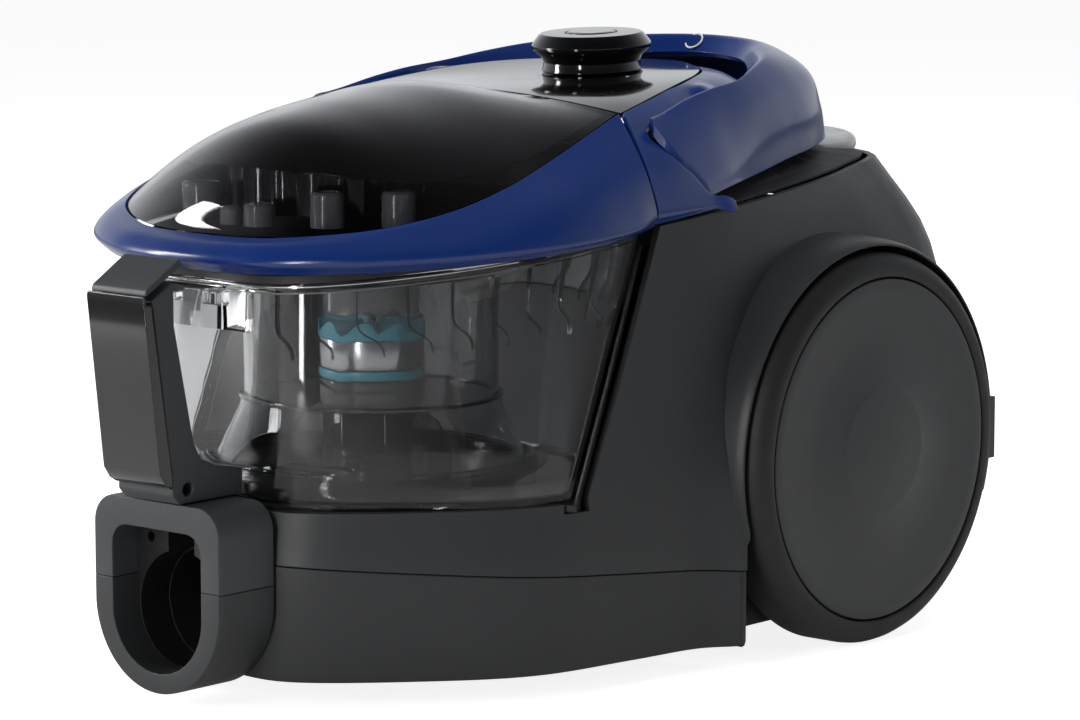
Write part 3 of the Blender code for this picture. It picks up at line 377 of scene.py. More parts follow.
def smooth(ctrl, n, lead=None, tail=None):
    """n points on a Catmull-Rom curve through ctrl."""
    pts = [np.asarray(p, float) for p in ctrl]
    first = np.asarray(lead, float) if lead is not None else 2 * pts[0] - pts[1]
    last = np.asarray(tail, float) if tail is not None else 2 * pts[-1] - pts[-2]
    pts = [first] + pts + [last]
    out = []
    spans = len(pts) - 3
    for k in range(n):
        u = k / (n - 1) * spans
        i = min(int(u), spans - 1)
        t = u - i
        a, b, c, d = pts[i], pts[i + 1], pts[i + 2], pts[i + 3]
        out.append(0.5 * (2 * b + (c - a) * t + (2 * a - 5 * b + 4 * c - d) * t * t
                          + (3 * b - a - 3 * c + d) * t ** 3))
    return np.array(out)


def flip(p):
    return np.array([-p[0]] + list(p[1:]), float)


def half(ctrl, n):
    """Right-half curve whose ends cross x = 0 squarely."""
    return smooth(ctrl, n, flip(ctrl[1]), flip(ctrl[-2]))


def full(half_pts):
    """Closed ring from a right half running front centre to rear centre."""
    h = np.asarray(half_pts, float)
    m = h[1:-1][::-1].copy()
    m[:, 0] *= -1
    return np.vstack([h, m])


def inset(ring, dist):
    """Move a closed ring inwards in plan by dist."""
    r = np.asarray(ring, float)
    tan = np.roll(r, -1, 0) - np.roll(r, 1, 0)
    nrm = np.stack([tan[:, 1], -tan[:, 0]], 1)
    nrm /= np.maximum(np.linalg.norm(nrm, axis=1), 1e-9)[:, None]
    out = r.copy()
    out[:, :2] -= nrm * dist
    return out


def at_height(ring, height):
    """The same ring at a height, or at the height that a function gives for each y."""
    out = ring.copy()
    out[:, 2] = [height(y) for y in out[:, 1]] if callable(height) else height
    return out


def turns(n):
    return np.arange(n) * 2 * math.pi / n


def round_ring(radius, centre_y, height, n):
    """Level ring about x = 0; radius and height may differ from point to point."""
    a = turns(n)
    return np.stack([radius * np.cos(a), centre_y + radius * np.sin(a), np.zeros(n) + height], 1)


def frame_axes(axis):
    """An axis as a unit vector, and two directions square to it."""
    axis = np.asarray(axis, float)
    axis = axis / np.linalg.norm(axis)
    ref = np.array([1.0, 0, 0]) if abs(axis[0]) < 0.9 else np.array([0, 1.0, 0])
    u = ref - axis * (ref @ axis)
    u = u / np.linalg.norm(u)
    return axis, u, np.cross(axis, u)


def circle(centre, axis, r, n):
    u, v = frame_axes(axis)[1:]
    a = turns(n)
    return np.asarray(centre, float) + r * (np.outer(np.cos(a), u) + np.outer(np.sin(a), v))


def knob_axis():
    return (0, -math.sin(KNOB_TILT), math.cos(KNOB_TILT))


# Stations of the lid, the deck and the handle, from one end to the other. Each runs from the
# outer lower edge, over the crown, to the inner edge, on the right-hand side.
LID = [
    [(105.8, -13.2, 177.6), (107.6, -13.8, 183.5), (100.3, -13.4, 201.0), (77.7, -1.4, 218.6)],
    [(107.6, -28, 175.0), (111.2, -28.5, 179.8), (102, -30, 197.5), (80.5, -23, 212)],
    [(109.0, -52, 173.1), (113.1, -54, 177.8), (104.5, -54, 191.6), (83.1, -47, 204.3)],
    [(106.2, -77, 171.6), (110, -79, 176.3), (102.5, -79, 187.2), (85.3, -76, 195.9)],
    [(94, -107, 169.7), (97.2, -110, 174.4), (92, -107, 182.2), (81.5, -104.6, 188.6)],
    [(72, -135.5, 168), (74.6, -139, 172.7), (72.5, -135, 178.9), (66.8, -129.3, 183.2)],
    [(44, -154.2, 166.8), (45.2, -158.2, 171.5), (43, -154.5, 176.8), (38.3, -148.2, 179.8)],
    [(20, -160.4, 166.4), (20.5, -164.5, 171.1), (20, -160.3, 176.2), (18.2, -152.9, 179)],
    [(0, -161.8, 166.3), (0, -165.9, 171), (0, -161.5, 176.1), (0, -153.6, 178.9)],
]
LENS = [  # half width, edge y, centre y, edge z, centre z
    (10, -152.0, -152.6, 179.0, 179.2), (27, -149.3, -150.5, 179.4, 181.5), (44, -144.0, -146, 180.4, 192),
    (59.5, -134.0, -133, 182.2, 206), (72, -121.5, -112, 184.6, 218.4), (80.6, -104, -85, 188.6, 224),
    (84.4, -76, -58, 195.8, 227.1), (82.2, -47, -36, 204.2, 229.2), (79.6, -23, -20, 211.9, 228),
    (76.2, -0.8, -6.8, 218.6, 225.1),
]
DECK = [
    [(105.6, -12.0, 178.2), (107.2, -12.4, 184), (100.3, -12.0, 201.6), (78.8, 0.6, 219.0)],
    [(106.3, 6, 179.7), (107.0, 6, 184.8), (100.0, 5, 203.0), (75.9, 13.4, 221.0)],
    [(106.9, 22, 181.4), (106.2, 22, 186.0), (97.0, 20, 206.5), (72.7, 26.4, 222.9)],
    [(107.2, 38, 183.2), (104, 36, 190), (91.5, 33, 211.5), (69.2, 38.4, 224.6)],
    [(79.5, 50, 221.0), (75, 50.5, 223), (70.5, 51, 224.6), (65.3, 51.9, 226.0)],
    [(77, 66, 222.5), (71.5, 67, 224.6), (65.5, 68.5, 226.4), (59.2, 67.5, 227.5)],
    [(71.5, 82, 223.5), (65, 84, 225.6), (57.5, 85.5, 227.3), (50.2, 84.2, 228.4)],
    [(60, 97, 224.0), (53, 99, 226), (46, 100, 227.6), (39.5, 96, 228.6)],
    [(40, 108.5, 225.5), (36.5, 108, 226.8), (33.5, 107.2, 227.8), (30.5, 105.6, 228.4)],
    [(17, 123.5, 224.6), (16, 122.4, 225.6), (15.4, 121.2, 226.4), (14.8, 120, 226.9)],
    [(0, 127, 224.2), (0, 125.8, 225.2), (0, 124.6, 225.9), (0, 123.4, 226.4)],
]
PANEL = [  # half width, edge y, centre y, edge z, centre z
    (77.0, 0.6, -5.6, 218.7, 225.2), (73.9, 15, 10, 221.1, 225.3), (70.3, 28, 26, 223.0, 225.4),
    (66.2, 42, 42, 224.9, 225.6), (61.5, 57, 58, 226.7, 226.1), (55.0, 73, 76, 228.0, 226.9),
    (45.5, 88, 92, 228.7, 227.6), (31, 103.5, 108, 228.7, 228.1), (12, 118, 121.5, 228.7, 228.7),
]
HANDLE = [
    [(106.6, -4, 183), (106, -6, 190), (100.5, -5, 203), (92, -2, 215.5), (86, 0, 216.5)],
    [(105.6, 17, 185.5), (104.5, 14, 192), (99, 12, 205.5), (89.5, 12, 217.6), (84.5, 13, 216.5)],
    [(100.6, 40, 188.4), (100, 36, 197), (94.5, 33, 210.5), (85.8, 32, 222.2), (81.5, 33, 220.5)],
    [(95.5, 56, 189.6), (95, 53, 200), (90.5, 50, 214), (83.3, 50, 225.2), (79.5, 51, 222.6)],
    [(88.2, 78, 191.2), (88.8, 75, 203.5), (86.5, 72, 217.5), (80.3, 70, 227.3), (78.7, 69, 223.5)],
    [(82, 101.5, 193.9), (83, 99, 207.5), (80.5, 94, 221.5), (73, 89, 230.8), (68.5, 87, 224.5)],
    [(75, 126, 196), (75.5, 124.5, 210), (72, 118.5, 224.5), (63.5, 108.5, 233.8), (57.5, 103.5, 226.0)],
    [(63.5, 149.5, 198.2), (62.5, 147.5, 211.5), (60.2, 141.2, 226), (49, 127, 235.6), (44, 121, 228.0)],
    [(44, 167, 199.4), (43.5, 165, 212.5), (41, 157.5, 227.8), (32, 143, 236.8), (29, 135.5, 229.4)],
    [(22, 175.5, 200), (21.5, 174, 213), (20, 166, 228.6), (16, 150, 237.4), (14.5, 142.5, 230.2)],
    [(0, 178.5, 200.2), (0, 177, 213.2), (0, 169, 229), (0, 152.5, 237.6), (0, 145, 230.5)],
]
# plan outlines cut out of the deck and the handle, so that one ends where the other starts
SEAM_DECK = [(150, 34.6), (107.8, 34.4), (106.6, 28), (105.2, 18.5), (102.6, 8), (97.5, 2.4), (92, 0.8),
             (87.5, 3.5), (84.8, 9), (83.4, 17), (82.2, 26), (81, 36), (80, 45), (81, 52), (150, 52)]
SEAM_HANDLE = [(150, 36.2), (107.4, 36.0), (105.3, 28.8), (103.8, 19.4), (101.4, 9.2), (97, 4.2), (92.2, 2.5),
               (88.6, 4.8), (86.2, 9.7), (84.8, 17.3), (83.6, 26.4), (82.4, 36.3), (81.4, 45.3), (80.8, 54),
               (60, 54), (50, 50), (50, -60), (150, -60)]


def band_grid(stations, nu, nv):
    """Grid through the right-hand stations, mirrored to the left past x = 0."""
    cols = []
    for k in range(len(stations[0])):
        line = [s[k] for s in stations]
        cols.append(smooth(line, nu, None, flip(line[-2])))
    cols = np.array(cols)
    rows = [smooth(cols[:, i], nv) for i in range(nu)]
    right = np.array(rows)
    left = right[:-1][::-1].copy()
    left[:, :, 0] *= -1
    return np.vstack([right, left])


def bow_point(row, v):
    """Point on one row of a dome; v runs across it from -1 to 1."""
    w, ye, yc, ze, zc = row
    return w * v, yc + (ye - yc) * v ** 2, ze + (zc - ze) * (1 - v ** 2)


def bow_grid(rows, nu, nv):
    """Grid across a dome given by half widths and centre-line heights."""
    across = np.linspace(-1, 1, nv)
    return np.array([np.stack(bow_point(row, across), 1) for row in smooth(rows, nu)])


def up_normals(grid):
    """Unit normals of a grid of points, on the side that faces up."""
    nrm = np.cross(np.gradient(grid, axis=0), np.gradient(grid, axis=1))
    nrm /= np.maximum(np.linalg.norm(nrm, axis=2), 1e-9)[:, :, None]
    return -nrm if nrm[:, :, 2].mean() < 0 else nrm


# ---- mesh making -------------------------------------------------------------
def mesh_object(name, verts, faces, mat=None):
    me = bpy.data.meshes.new(name)
    me.from_pydata([tuple(v) for v in np.asarray(verts, float) * MM], [], faces)
    bm = bmesh.new()
    bm.from_mesh(me)
    bmesh.ops.recalc_face_normals(bm, faces=bm.faces)
    bm.to_mesh(me)
    bm.free()
    ob = bpy.data.objects.new(name, me)
    bpy.context.scene.collection.objects.link(ob)
    if mat:
        me.materials.append(MATERIALS[mat])
    return ob


def dress(ob, body, stands_for=(), bevel=0.0, steps=2, sharp=SHARP):
    """Smooth shading, softened edges, and the body the piece belongs to.
    """
    ob.data.shade_smooth()
    ob.data.set_sharp_from_angle(angle=sharp)
    if bevel:
        mod = ob.modifiers.new("soft_edges", 'BEVEL')
        mod.width = bevel * MM
        mod.segments = steps
        mod.limit_method = 'ANGLE'
        mod.angle_limit = BEVEL_ANGLE
        mod.harden_normals = True
    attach(ob, body)
    if stands_for:
        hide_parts(*stands_for)


def loft(name, rings, mat=None, closed=False):
    """Solid through closed rings: capped at both ends, or closed back on to its first ring."""
    n = len(rings[0])
    faces = []
    last = len(rings) if closed else len(rings) - 1
    for k in range(last):
        a = k * n
        b = ((k + 1) % len(rings)) * n
        for i in range(n):
            j = (i + 1) % n
            faces.append((a + i, a + j, b + j, b + i))
    if not closed:
        faces.append(tuple(range(n)))
        faces.append(tuple(range((len(rings) - 1) * n, len(rings) * n)))
    return mesh_object(name, np.vstack(rings), faces, mat)


def strip_loft(name, strips, mat):
    """Bar through open strips that together go round its section, with its two ends closed."""
    n = len(strips[0])
    count = len(strips)
    faces = []
    for k in range(count):
        a = k * n
        b = ((k + 1) % count) * n
        faces += [(a + i, a + i + 1, b + i + 1, b + i) for i in range(n - 1)]
    faces.append(tuple(k * n for k in range(count)))
    faces.append(tuple(k * n + n - 1 for k in range(count)))
    return mesh_object(name, np.vstack(strips), faces, mat)


def lathe(name, prof, mat, centre, axis=UP, n=96, closed=False):
    """Turned solid from pairs of radius and distance along the axis."""
    along = frame_axes(axis)[0]
    rings = [circle(np.asarray(centre, float) + along * h, axis, r, n) for r, h in prof]
    return loft(name, rings, mat, closed)


def rod(name, radius, lo, hi, centre, axis=UP, n=96):
    """Plain round tool for cutting or joining, from lo to hi along its axis."""
    return lathe(name, [(radius, lo), (radius, hi)], None, centre, axis, n)


PLANES = {
    "YZ": lambda a, b, h: (h, a, b),
    "XZ": lambda a, b, h: (a, h, b),
    "XY": lambda a, b, h: (a, b, h),
}


def prism(name, outline, lo, hi, mat=None, plane="YZ"):
    """An outline in a plane, carried from lo to hi square to it."""
    put = PLANES[plane]
    rings = [np.array([put(a, b, h) for a, b in outline], float) for h in (lo, hi)]
    return loft(name, rings, mat)


def block(name, x, y, z):
    return prism(name, [(y[0], z[0]), (y[1], z[0]), (y[1], z[1]), (y[0], z[1])], x[0], x[1])


def skin(name, grid, thick, mat=None):
    """Closed skin: the grid is the outer face, pushed inwards by thick."""
    nu, nv = grid.shape[:2]
    verts = np.vstack([grid.reshape(-1, 3), (grid - up_normals(grid) * thick).reshape(-1, 3)])
    off = nu * nv
    faces = []
    for i in range(nu - 1):
        for j in range(nv - 1):
            a, b, c, d = i * nv + j, i * nv + j + 1, (i + 1) * nv + j + 1, (i + 1) * nv + j
            faces.append((a, b, c, d))
            faces.append((off + d, off + c, off + b, off + a))
    rim = [i * nv for i in range(nu)] + [(nu - 1) * nv + j for j in range(1, nv)]
    rim += [i * nv + nv - 1 for i in range(nu - 2, -1, -1)] + [j for j in range(nv - 2, 0, -1)]
    for k in range(len(rim)):
        a, b = rim[k], rim[(k + 1) % len(rim)]
        faces.append((a, b, off + b, off + a))
    return mesh_object(name, verts, faces, mat)


def carve(ob, *tools, join=False, folded=False):
    """Cut the tools out of ob, or join them to it, and drop them."""
    for tool in tools:
        mod = ob.modifiers.new("cut", 'BOOLEAN')
        mod.object = tool
        mod.operation = 'UNION' if join else 'DIFFERENCE'
        mod.solver = 'EXACT'
        mod.use_self = folded
    bpy.context.view_layer.update()
    graph = bpy.context.evaluated_depsgraph_get()
    me = bpy.data.meshes.new_from_object(ob.evaluated_get(graph))
    ob.modifiers.clear()
    ob.data = me
    for tool in tools:
        bpy.data.objects.remove(tool, do_unlink=True)
    return ob


# ---- grey body ---------------------------------------------------------------
HALF_POINTS = 46
WELL_SPRING = 56.0   # height where a wheel well's arch starts
ARCH_STEPS = 72
FAR_OUT = 160


def section(xy, height):
    return at_height(full(half([(x, y, 0) for x, y in xy], HALF_POINTS)), height)


def body_rings(depth, steps):
    """Rings of the grey body pulled inwards by depth, smooth from the parting line up."""
    low_mid = [(a[0] * .5 + b[0] * .5, a[1] * .5 + b[1] * .5) for a, b in zip(XY_TRAY, XY_MID)]
    keys = [section(XY_BASE, z_part), section(XY_TRAY, 77.0), section(low_mid, 102.0),
            section(XY_MID, 127.0), section(XY_HIGH, 160.0), section(XY_TOP, z_top)]
    rings = [section(XY_BASE, BASE_Z)] + list(smooth(keys, steps))
    return [inset(ring, depth) for ring in rings]


def arch_tool(side):
    prof = [(85.7, 98), (85.4, 112), (84.9, 120), (84.3, 124), (83.6, 126.6), (82.8, LIP_X)]
    return lathe("tool_arch", prof, None, (0, WHEEL_Y, WHEEL_R), (side, 0, 0), 144)


def well_tool(side, r, x0):
    """Space for a wheel: a round arch over straight sides, open below."""
    arch = []
    start = math.asin((WELL_SPRING - WHEEL_R) / r)
    for k in range(1, ARCH_STEPS):
        a = start + (math.pi - 2 * start) * k / ARCH_STEPS
        arch.append((WHEEL_Y - r * math.cos(a), WHEEL_R + r * math.sin(a)))
    y0 = SEAM_Y - (r - WELL_R)
    y1 = WHEEL_Y + (WHEEL_Y - y0)
    outline = [(y0, BELOW), (y0, 56)] + arch + [(y1, 56), (y1, BELOW)]
    lo, hi = sorted((side * x0, side * FAR_OUT))
    return prism("tool_well", outline, lo, hi)


def duct_tool():
    return rod("tool_duct", BORE_R + 2.2, 0, 22, (0, -158, BORE_Z), ALONG, 64)


def bay_tool():
    """Space for the bin, with a step for the lower edge of its liner."""
    front, top = -250, 260
    foot = y_edge(75) - 4.2
    tray = TRAY_Z + 0.4
    step = 71.6
    outline = [(front, tray), (foot, tray), (foot, step), (y_edge(75) + 8.0, step),
               (y_edge(77) + 7.0, 77), (y_edge(top) + 6.8, top), (front, top)]
    return prism("tool_bay", outline, -150, 150)


def below_seam_tool():
    reach, gap = 250, 0.15
    outline = [(-reach, z_part(-reach) + gap), (-reach, BELOW), (reach, BELOW),
               (reach, z_part(reach) + gap)]
    return prism("tool_low", outline, -151, 151)


def body_shell():
    shell = loft("v_body_shell", body_rings(0, 18), "body_grey")
    inner = body_rings(SHELL_T, 8)
    inner[0][:, 2] = -20
    top = inner[-1].copy()
    top[:, 2] += 40
    hollow = loft("tool_hollow", inner + [top])
    carve(shell, block("tool_exhaust", (-56.2, 56.2), (165, 230), (87.8, 166.4)))
    carve(shell, arch_tool(1), arch_tool(-1), join=True)
    wall = 2.6
    carve(hollow, *[well_tool(side, WELL_R + wall, WELL_X - wall) for side in (1, -1)])
    carve(shell, hollow)
    carve(shell, *[well_tool(side, WELL_R, WELL_X) for side in (1, -1)])
    carve(shell, bay_tool(), below_seam_tool())
    carve(shell, duct_tool(), rod("tool_gland", 8.4, 0, 40, (-40, 180, 62), ALONG, 40))
    dress(shell, "housing", ["body_shell"])


def base_outline():
    """Right half of the base in plan, stepped in round the wheel."""
    front = [tuple(p[:2]) for p in half([(x, y, 0) for x, y in XY_BASE], 90) if p[1] < SEAM_Y - 0.2]
    front += [(126.2, SEAM_Y - 0.2), (103.7, SEAM_Y - 0.1)]
    rear = [(103.7, 60), (103.7, 100), (103.7, 140), (103.2, 160)]
    corner = [(103.2, 160, 0), (90, 184, 0), (68, 190, 0), (34, 193.3, 0), (0, 194, 0)]
    back = [tuple(p[:2]) for p in smooth(corner, 24)]
    return front + rear + back[1:]


def under_seam(gap):
    return lambda y: z_part(y) - gap


def base_housing():
    out = full([(x, y, 0) for x, y in base_outline()])
    inn = inset(out, 2.4)
    rings = [at_height(inset(out, 2.2), BASE_Z), at_height(inset(out, 0.7), BASE_Z + 0.5),
             at_height(out, BASE_Z + 2.2), at_height(out, under_seam(0.55)),
             at_height(inset(out, 0.35), under_seam(0.2)), at_height(inn, under_seam(0.2)),
             at_height(inn, BASE_Z + 2.0)]
    base = loft("v_base_housing", rings, "base_grey")
    pivot = (0, CASTER_Y, BASE_Z)
    carve(base, rod("tool_dome", 26.8, 0, 25.4, (0, CASTER_Y, BASE_Z + 0.1)), join=True)
    carve(base, rod("tool_dome", 24.6, -20, 23.0, pivot), rod("tool_pin", 3.5, 20, 40, pivot, UP, 32))
    carve(base, duct_tool())
    dress(base, "housing", ["base_housing"])


# ---- hose inlet --------------------------------------------------------------
COLLAR_FLOOR = 13.4
COLLAR_SEAM = (47.55, 47.85)  # top of the lower tone, foot of the upper one


def upper_u(half_width, top, corner, cut):
    """Flat top and round corners of an upright U, above the cut."""
    pts = [(half_width, cut)]
    for k in range(13):
        a = math.radians(90 * k / 12)
        pts.append((half_width - corner + corner * math.cos(a), top - corner + corner * math.sin(a)))
    return pts + [(-x, z) for x, z in pts[::-1]]


def lower_u(half_width, centre, cut):
    """Half circle of an upright U, below the cut."""
    pts = [(half_width, cut)]
    for k in range(1, 24):
        a = math.radians(-90 * k / 24)
        pts.append((half_width * math.cos(a), centre + half_width * math.sin(a)))
    return pts + [(0.0, centre - half_width)] + [(-x, z) for x, z in pts[::-1]]


def collar(name, node, out, inn, mat):
    """One tone of the collar, with a rounded front edge."""
    mid = [((a[0] + b[0]) / 2, (a[1] + b[1]) / 2) for a, b in zip(out, inn)]
    front = COLLAR_FRONT
    strips = []
    for pts, y, k in ((inn, COLLAR_BACK, 1), (inn, front + 1.2, 1), (inn, front + 0.2, 1.015),
                      (mid, front, 1), (out, front + 0.2, 0.965), (out, front + 1.0, 0.985),
                      (out, front + 2.4, 1), (out, COLLAR_BACK, 1)):
        strips.append(np.array([(x * k, y, z) for x, z in pts]))
    dress(strip_loft(name, strips, mat), "housing", [node])


def collars():
    low, high = COLLAR_SEAM
    collar("v_collar_upper", "inlet_collar_upper", upper_u(COLLAR_W, COLLAR_TOP, 11.0, high),
           upper_u(COLLAR_IN, 69.0, 8.0, high), "collar_grey")
    collar("v_collar_lower", "inlet_collar_lower", lower_u(COLLAR_W, COLLAR_BOT + COLLAR_W, low),
           lower_u(COLLAR_IN, COLLAR_FLOOR + COLLAR_IN, low), "base_grey")


def inlet_socket():
    half_width = COLLAR_IN - 0.35
    out = upper_u(half_width, 68.65, 7.7, 45.0)
    low = lower_u(half_width, COLLAR_FLOOR + COLLAR_IN, 45.0)
    ob = prism("v_inlet_socket", out + low[::-1][1:-1], -166.0, -151.3, "black_matte", "XZ")
    carve(ob, rod("tool_bore", BORE_R, -10, 20, (0, -164, BORE_Z), ALONG))
    carve(ob, block("tool_key", (-7, 7), (-170, -145), (50, 66.4)))
    for side in (1, -1):
        carve(ob, rod("tool_lug", 2.0, -10, 20, (side * 16.5, -164, 62.5), ALONG, 24))
    dress(ob, "housing", ["inlet_socket"], 0.5)


# ---- dust cup ----------------------------------------------------------------
FRONT_N = 34
REAR_N = 26
CUP_FLOOR = 75.4
RIM_REACH = 9.0
# plan outlines of the cup's front and rear quarters, at its floor and at its rim
CUP_FRONT_LOW = [(0, -146), (39, -143.5), (77, -110), (97.6, -84), (104.2, -61.5)]
CUP_FRONT_HIGH = [(0, -143), (38, -140), (74, -105), (95.5, -66), (102, -18)]
CUP_REAR_LOW = [(104.2, -61.5), (93, -41), (74, -13), (42, 8.5), (0, 13)]
CUP_REAR_HIGH = [(102, -18), (92, -7.5), (74, 3.5), (42, 12), (0, 15)]


def between(low, high, s):
    return [(p[0] + (q[0] - p[0]) * s, p[1] + (q[1] - p[1]) * s) for p, q in zip(low, high)]


def cup_plan(s):
    front = between(CUP_FRONT_LOW, CUP_FRONT_HIGH, s)
    rear = between(CUP_REAR_LOW, CUP_REAR_HIGH, s)
    front = smooth(front, FRONT_N, (-front[1][0], front[1][1]))
    rear = smooth(rear, REAR_N, None, (-rear[-2][0], rear[-2][1]))
    pts = np.vstack([front, rear[1:]])
    return full(np.column_stack([pts, np.zeros(len(pts))]))


def cup_ring(s, lift=0.0):
    """The cup's outline from its floor, s = 0, to its rim, s = 1."""
    return at_height(cup_plan(s), lambda y: CUP_FLOOR + s * (z_rim(y) - 0.5 - CUP_FLOOR) + lift)


def flare(ring, reach):
    """Push the front part of a cup ring outwards, fading out towards the bay."""
    wide = inset(ring, -reach)
    n = len(ring)
    out = ring.copy()
    for i in range(n):
        w = min(max((0.727 - min(i, n - i) / (FRONT_N - 1)) * 2.2, 0.0), 1.0)
        w = w * w * (3 - 2 * w)
        out[i] = ring[i] * (1 - w) + wide[i] * w
    return out


def dust_cup():
    floor_ring = cup_ring(0)
    outer = [inset(floor_ring, 2.5), inset(cup_ring(0.008), 0.8), cup_ring(0.025)]
    outer += [cup_ring(s) for s in np.linspace(0.1, 0.95, 10)]
    rim = ((0.965, 3.0), (0.975, 8.0), (0.985, RIM_REACH), (1.0, RIM_REACH))
    outer += [flare(cup_ring(s), reach) for s, reach in rim]
    inner = [inset(cup_ring(s), 2.2) for s in (1.0, 0.75, 0.5, 0.25, 0.05)]
    inner += [at_height(inset(floor_ring, 3.0), 78.6), at_height(inset(floor_ring, 4.2), 78.0)]
    cup = loft("v_dust_cup", outer + inner, "clear_smoke")
    lug = [(-182.2, 149), (-141.5, 141), (-141.5, 158.5), (-150, 160.3), (-182.2, 160.3)]
    carve(cup, prism("tool_lug", lug, -13.5, 13.5), join=True)
    carve(cup, rod("tool_port", 18.8, -10, 10, (0, PORT_Y, 76.0), UP, 72))
    dress(cup, "bin", ["dust_cup"], 0.35)


# ---- cyclone and turbine -----------------------------------------------------
CYCLONE = (0, CYC_Y, 0)


def cyclone_cylinder():
    """Clear cylinder whose upper half is ribbed."""
    wall = 1.8
    rib = 0.9 * np.clip(np.cos(turns(144) * 12), 0.75, 1.0) / 0.25
    rings = []
    for r, z, ribbed in ((CYC_R, 108.3, 0), (CYC_R, 133, 0), (CYC_R, 136, 1), (CYC_R, 156.5, 1),
                         (CYC_R - wall, 156.5, 0), (CYC_R - wall, 108.3, 0)):
        rings.append(round_ring(r + (rib - 2.7) * ribbed * 0.6, CYC_Y, z, 144))
    cylinder = loft("v_cyclone_cylinder", rings, "clear_smoke", True)
    dress(cylinder, "bin", ["cyclone_cylinder"])


def cyclone_skirt():
    """Bell below the cylinder, with an arch cut in its front."""
    out = smooth([(62, 78.3), (61.4, 82), (58.6, 88), (54.6, 97), (52, 103), (CYC_R + 0.6, 108.0)], 16)
    inn = smooth([(CYC_R - 1.4, 108.0), (50.2, 103), (52.8, 97), (56.8, 88), (59.6, 82), (60.2, 78.3)], 16)
    skirt = turned("v_cyclone_skirt", "clear_smoke", np.vstack([out, inn]), 120)
    carve(skirt, rod("tool_arch", 21, 0, 40, (0, -135, 77), ALONG, 72))
    dress(skirt, "bin", ["cyclone_skirt"])


def turned(name, finish, prof, n=96, closed=True):
    """Piece turned round the cyclone's axis."""
    return lathe(name, prof, finish, CYCLONE, UP, n, closed)


def turbine_cup():
    side = smooth([(15, 78.4), (16, 84), (16.5, 97), (18.5, 101.5), (TURB_R, 105), (TURB_R, 114.4)], 22)
    prof = list(side) + [(18.5, 114.4), (18.5, 106), (6, 104)]
    dress(turned("v_turbine_cup", "black_gloss", prof, closed=False), "bin", ["turbine_cup"], 0.3)


def outlet_tube():
    prof = [(17, 141), (17, 158), (18.4, 161), (30, 163.5), (30, 165), (17.4, 163), (15.5, 160), (15.5, 141)]
    dress(turned("v_outlet_tube", "clear_smoke", prof), "lid", ["outlet_tube"])


def turbine_ring_and_band():
    prof = [(TURB_R, 115.1), (TURB_R + 0.3, 117), (TURB_R, 118.7), (16, 118.9), (16, 114.9)]
    dress(turned("v_turbine_ring", "teal", prof), "turbine", ["turbine_ring"], 0.2)
    lip, face = TURB_R - 0.4, TURB_R - 0.2
    prof = [(lip, 119.2), (face, 120), (face, 129.8), (lip, 130.6), (17.5, 130.6), (17.5, 119.2)]
    dress(turned("v_turbine_band", "silver", prof), "turbine", ["turbine_band"])


def turbine_blades():
    """Ring whose top edge rises and drops nine times, as swept blade tips do."""
    n = 180
    blades = 9
    rise = 0.72
    saw = (turns(n) * blades / (2 * math.pi)) % 1.0
    up = np.sin(saw / rise * math.pi / 2)
    down = np.cos((saw - rise) / (1 - rise) * math.pi / 2)
    top = 133.8 + 4.4 * np.where(saw < rise, up, down)
    foot = 131.0
    sides = ((TURB_R + 0.2, foot), (TURB_R + 0.3, top - 0.4), (TURB_R - 0.3, top), (5.0, top - 1.0),
             (5.0, foot))
    rings = [round_ring(r, CYC_Y, z, n) for r, z in sides]
    dress(loft("v_turbine_blades", rings, "teal", True), "turbine", ["turbine_blades"])


# ---- grip --------------------------------------------------------------------
def grip_cover():
    front = GRIP_FRONT
    outline = [(-194.6, 157.0), (front + 1.7, 157.2), (front + 1.7, 160.2), (front + 0.5, 160.6),
               (front, 159), (front + 7.6, 93), (front + 10.5, 88.6), (-184.9, 86.5), (-184.6, 90)]
    cover = prism("v_grip_cover", outline, -GRIP_W, GRIP_W, "black_gloss")
    dress(cover, "bin", ["grip_cover"], 1.3, 4)


def grip_back():
    outline = [(-193.8, 158.2), (-184.2, 89.5), (-184.4, 84), (-181, 80.2), (-147.3, 80.2), (-147.3, 90.5),
               (-162, 93), (-169.5, 96.5), (-173, 103), (-182.6, 148.4), (-182.6, 164.4)]
    half_width = GRIP_W - 0.6
    back = prism("v_grip_back", outline, -half_width, half_width, "collar_grey")
    carve(back, rod("tool_screw", 2.5, 9.0, 20, (0, -176.5, 85.5), ACROSS, 32))
    dress(back, "bin", ["grip_back"], 0.7, 3)


def release_button():
    outline = [(-197.0, 160.0), (-197.0, 161.6), (-196.2, 162.9), (-179.5, 172.8), (-178.4, 172.2),
               (-178.2, 170.3)]
    half_width = GRIP_W - 0.7
    plate = prism("v_release_button", outline, -half_width, half_width, "collar_grey")
    dress(plate, "button", ["release_button"], 0.7, 3)


# ---- lid ---------------------------------------------------------------------
SKIN_T = 2.2
PAINT_DEPTH = 2.5
# where the black paint starts along the lens, by distance from its middle line
PAINT_EDGE = [(0.0, 0.318), (0.275, 0.331), (0.475, 0.358), (0.67, 0.419), (0.80, 0.519), (0.85, 0.589),
              (0.875, 0.654), (0.90, 0.717), (0.93, 0.790)]
LENS_STEPS = 800
DRUM_Y = -84
# x, y, radius and top of the posts that show through the lens
LID_POSTS = [(-31, -122, 7.5, 194), (-3, -134, 4.2, 187.5), (9, -131, 6.0, 189), (33, -119, 6.5, 194),
             (52, -100, 6.5, 194)]


def above_rim(lift):
    return lambda y: z_rim(y) + lift


def lid_ring():
    ring = skin("v_lid_ring", band_grid(LID, 110, 24), SKIN_T, "blue_gloss")
    dress(ring, "lid", ["lid_ring"], 0.5, 3)


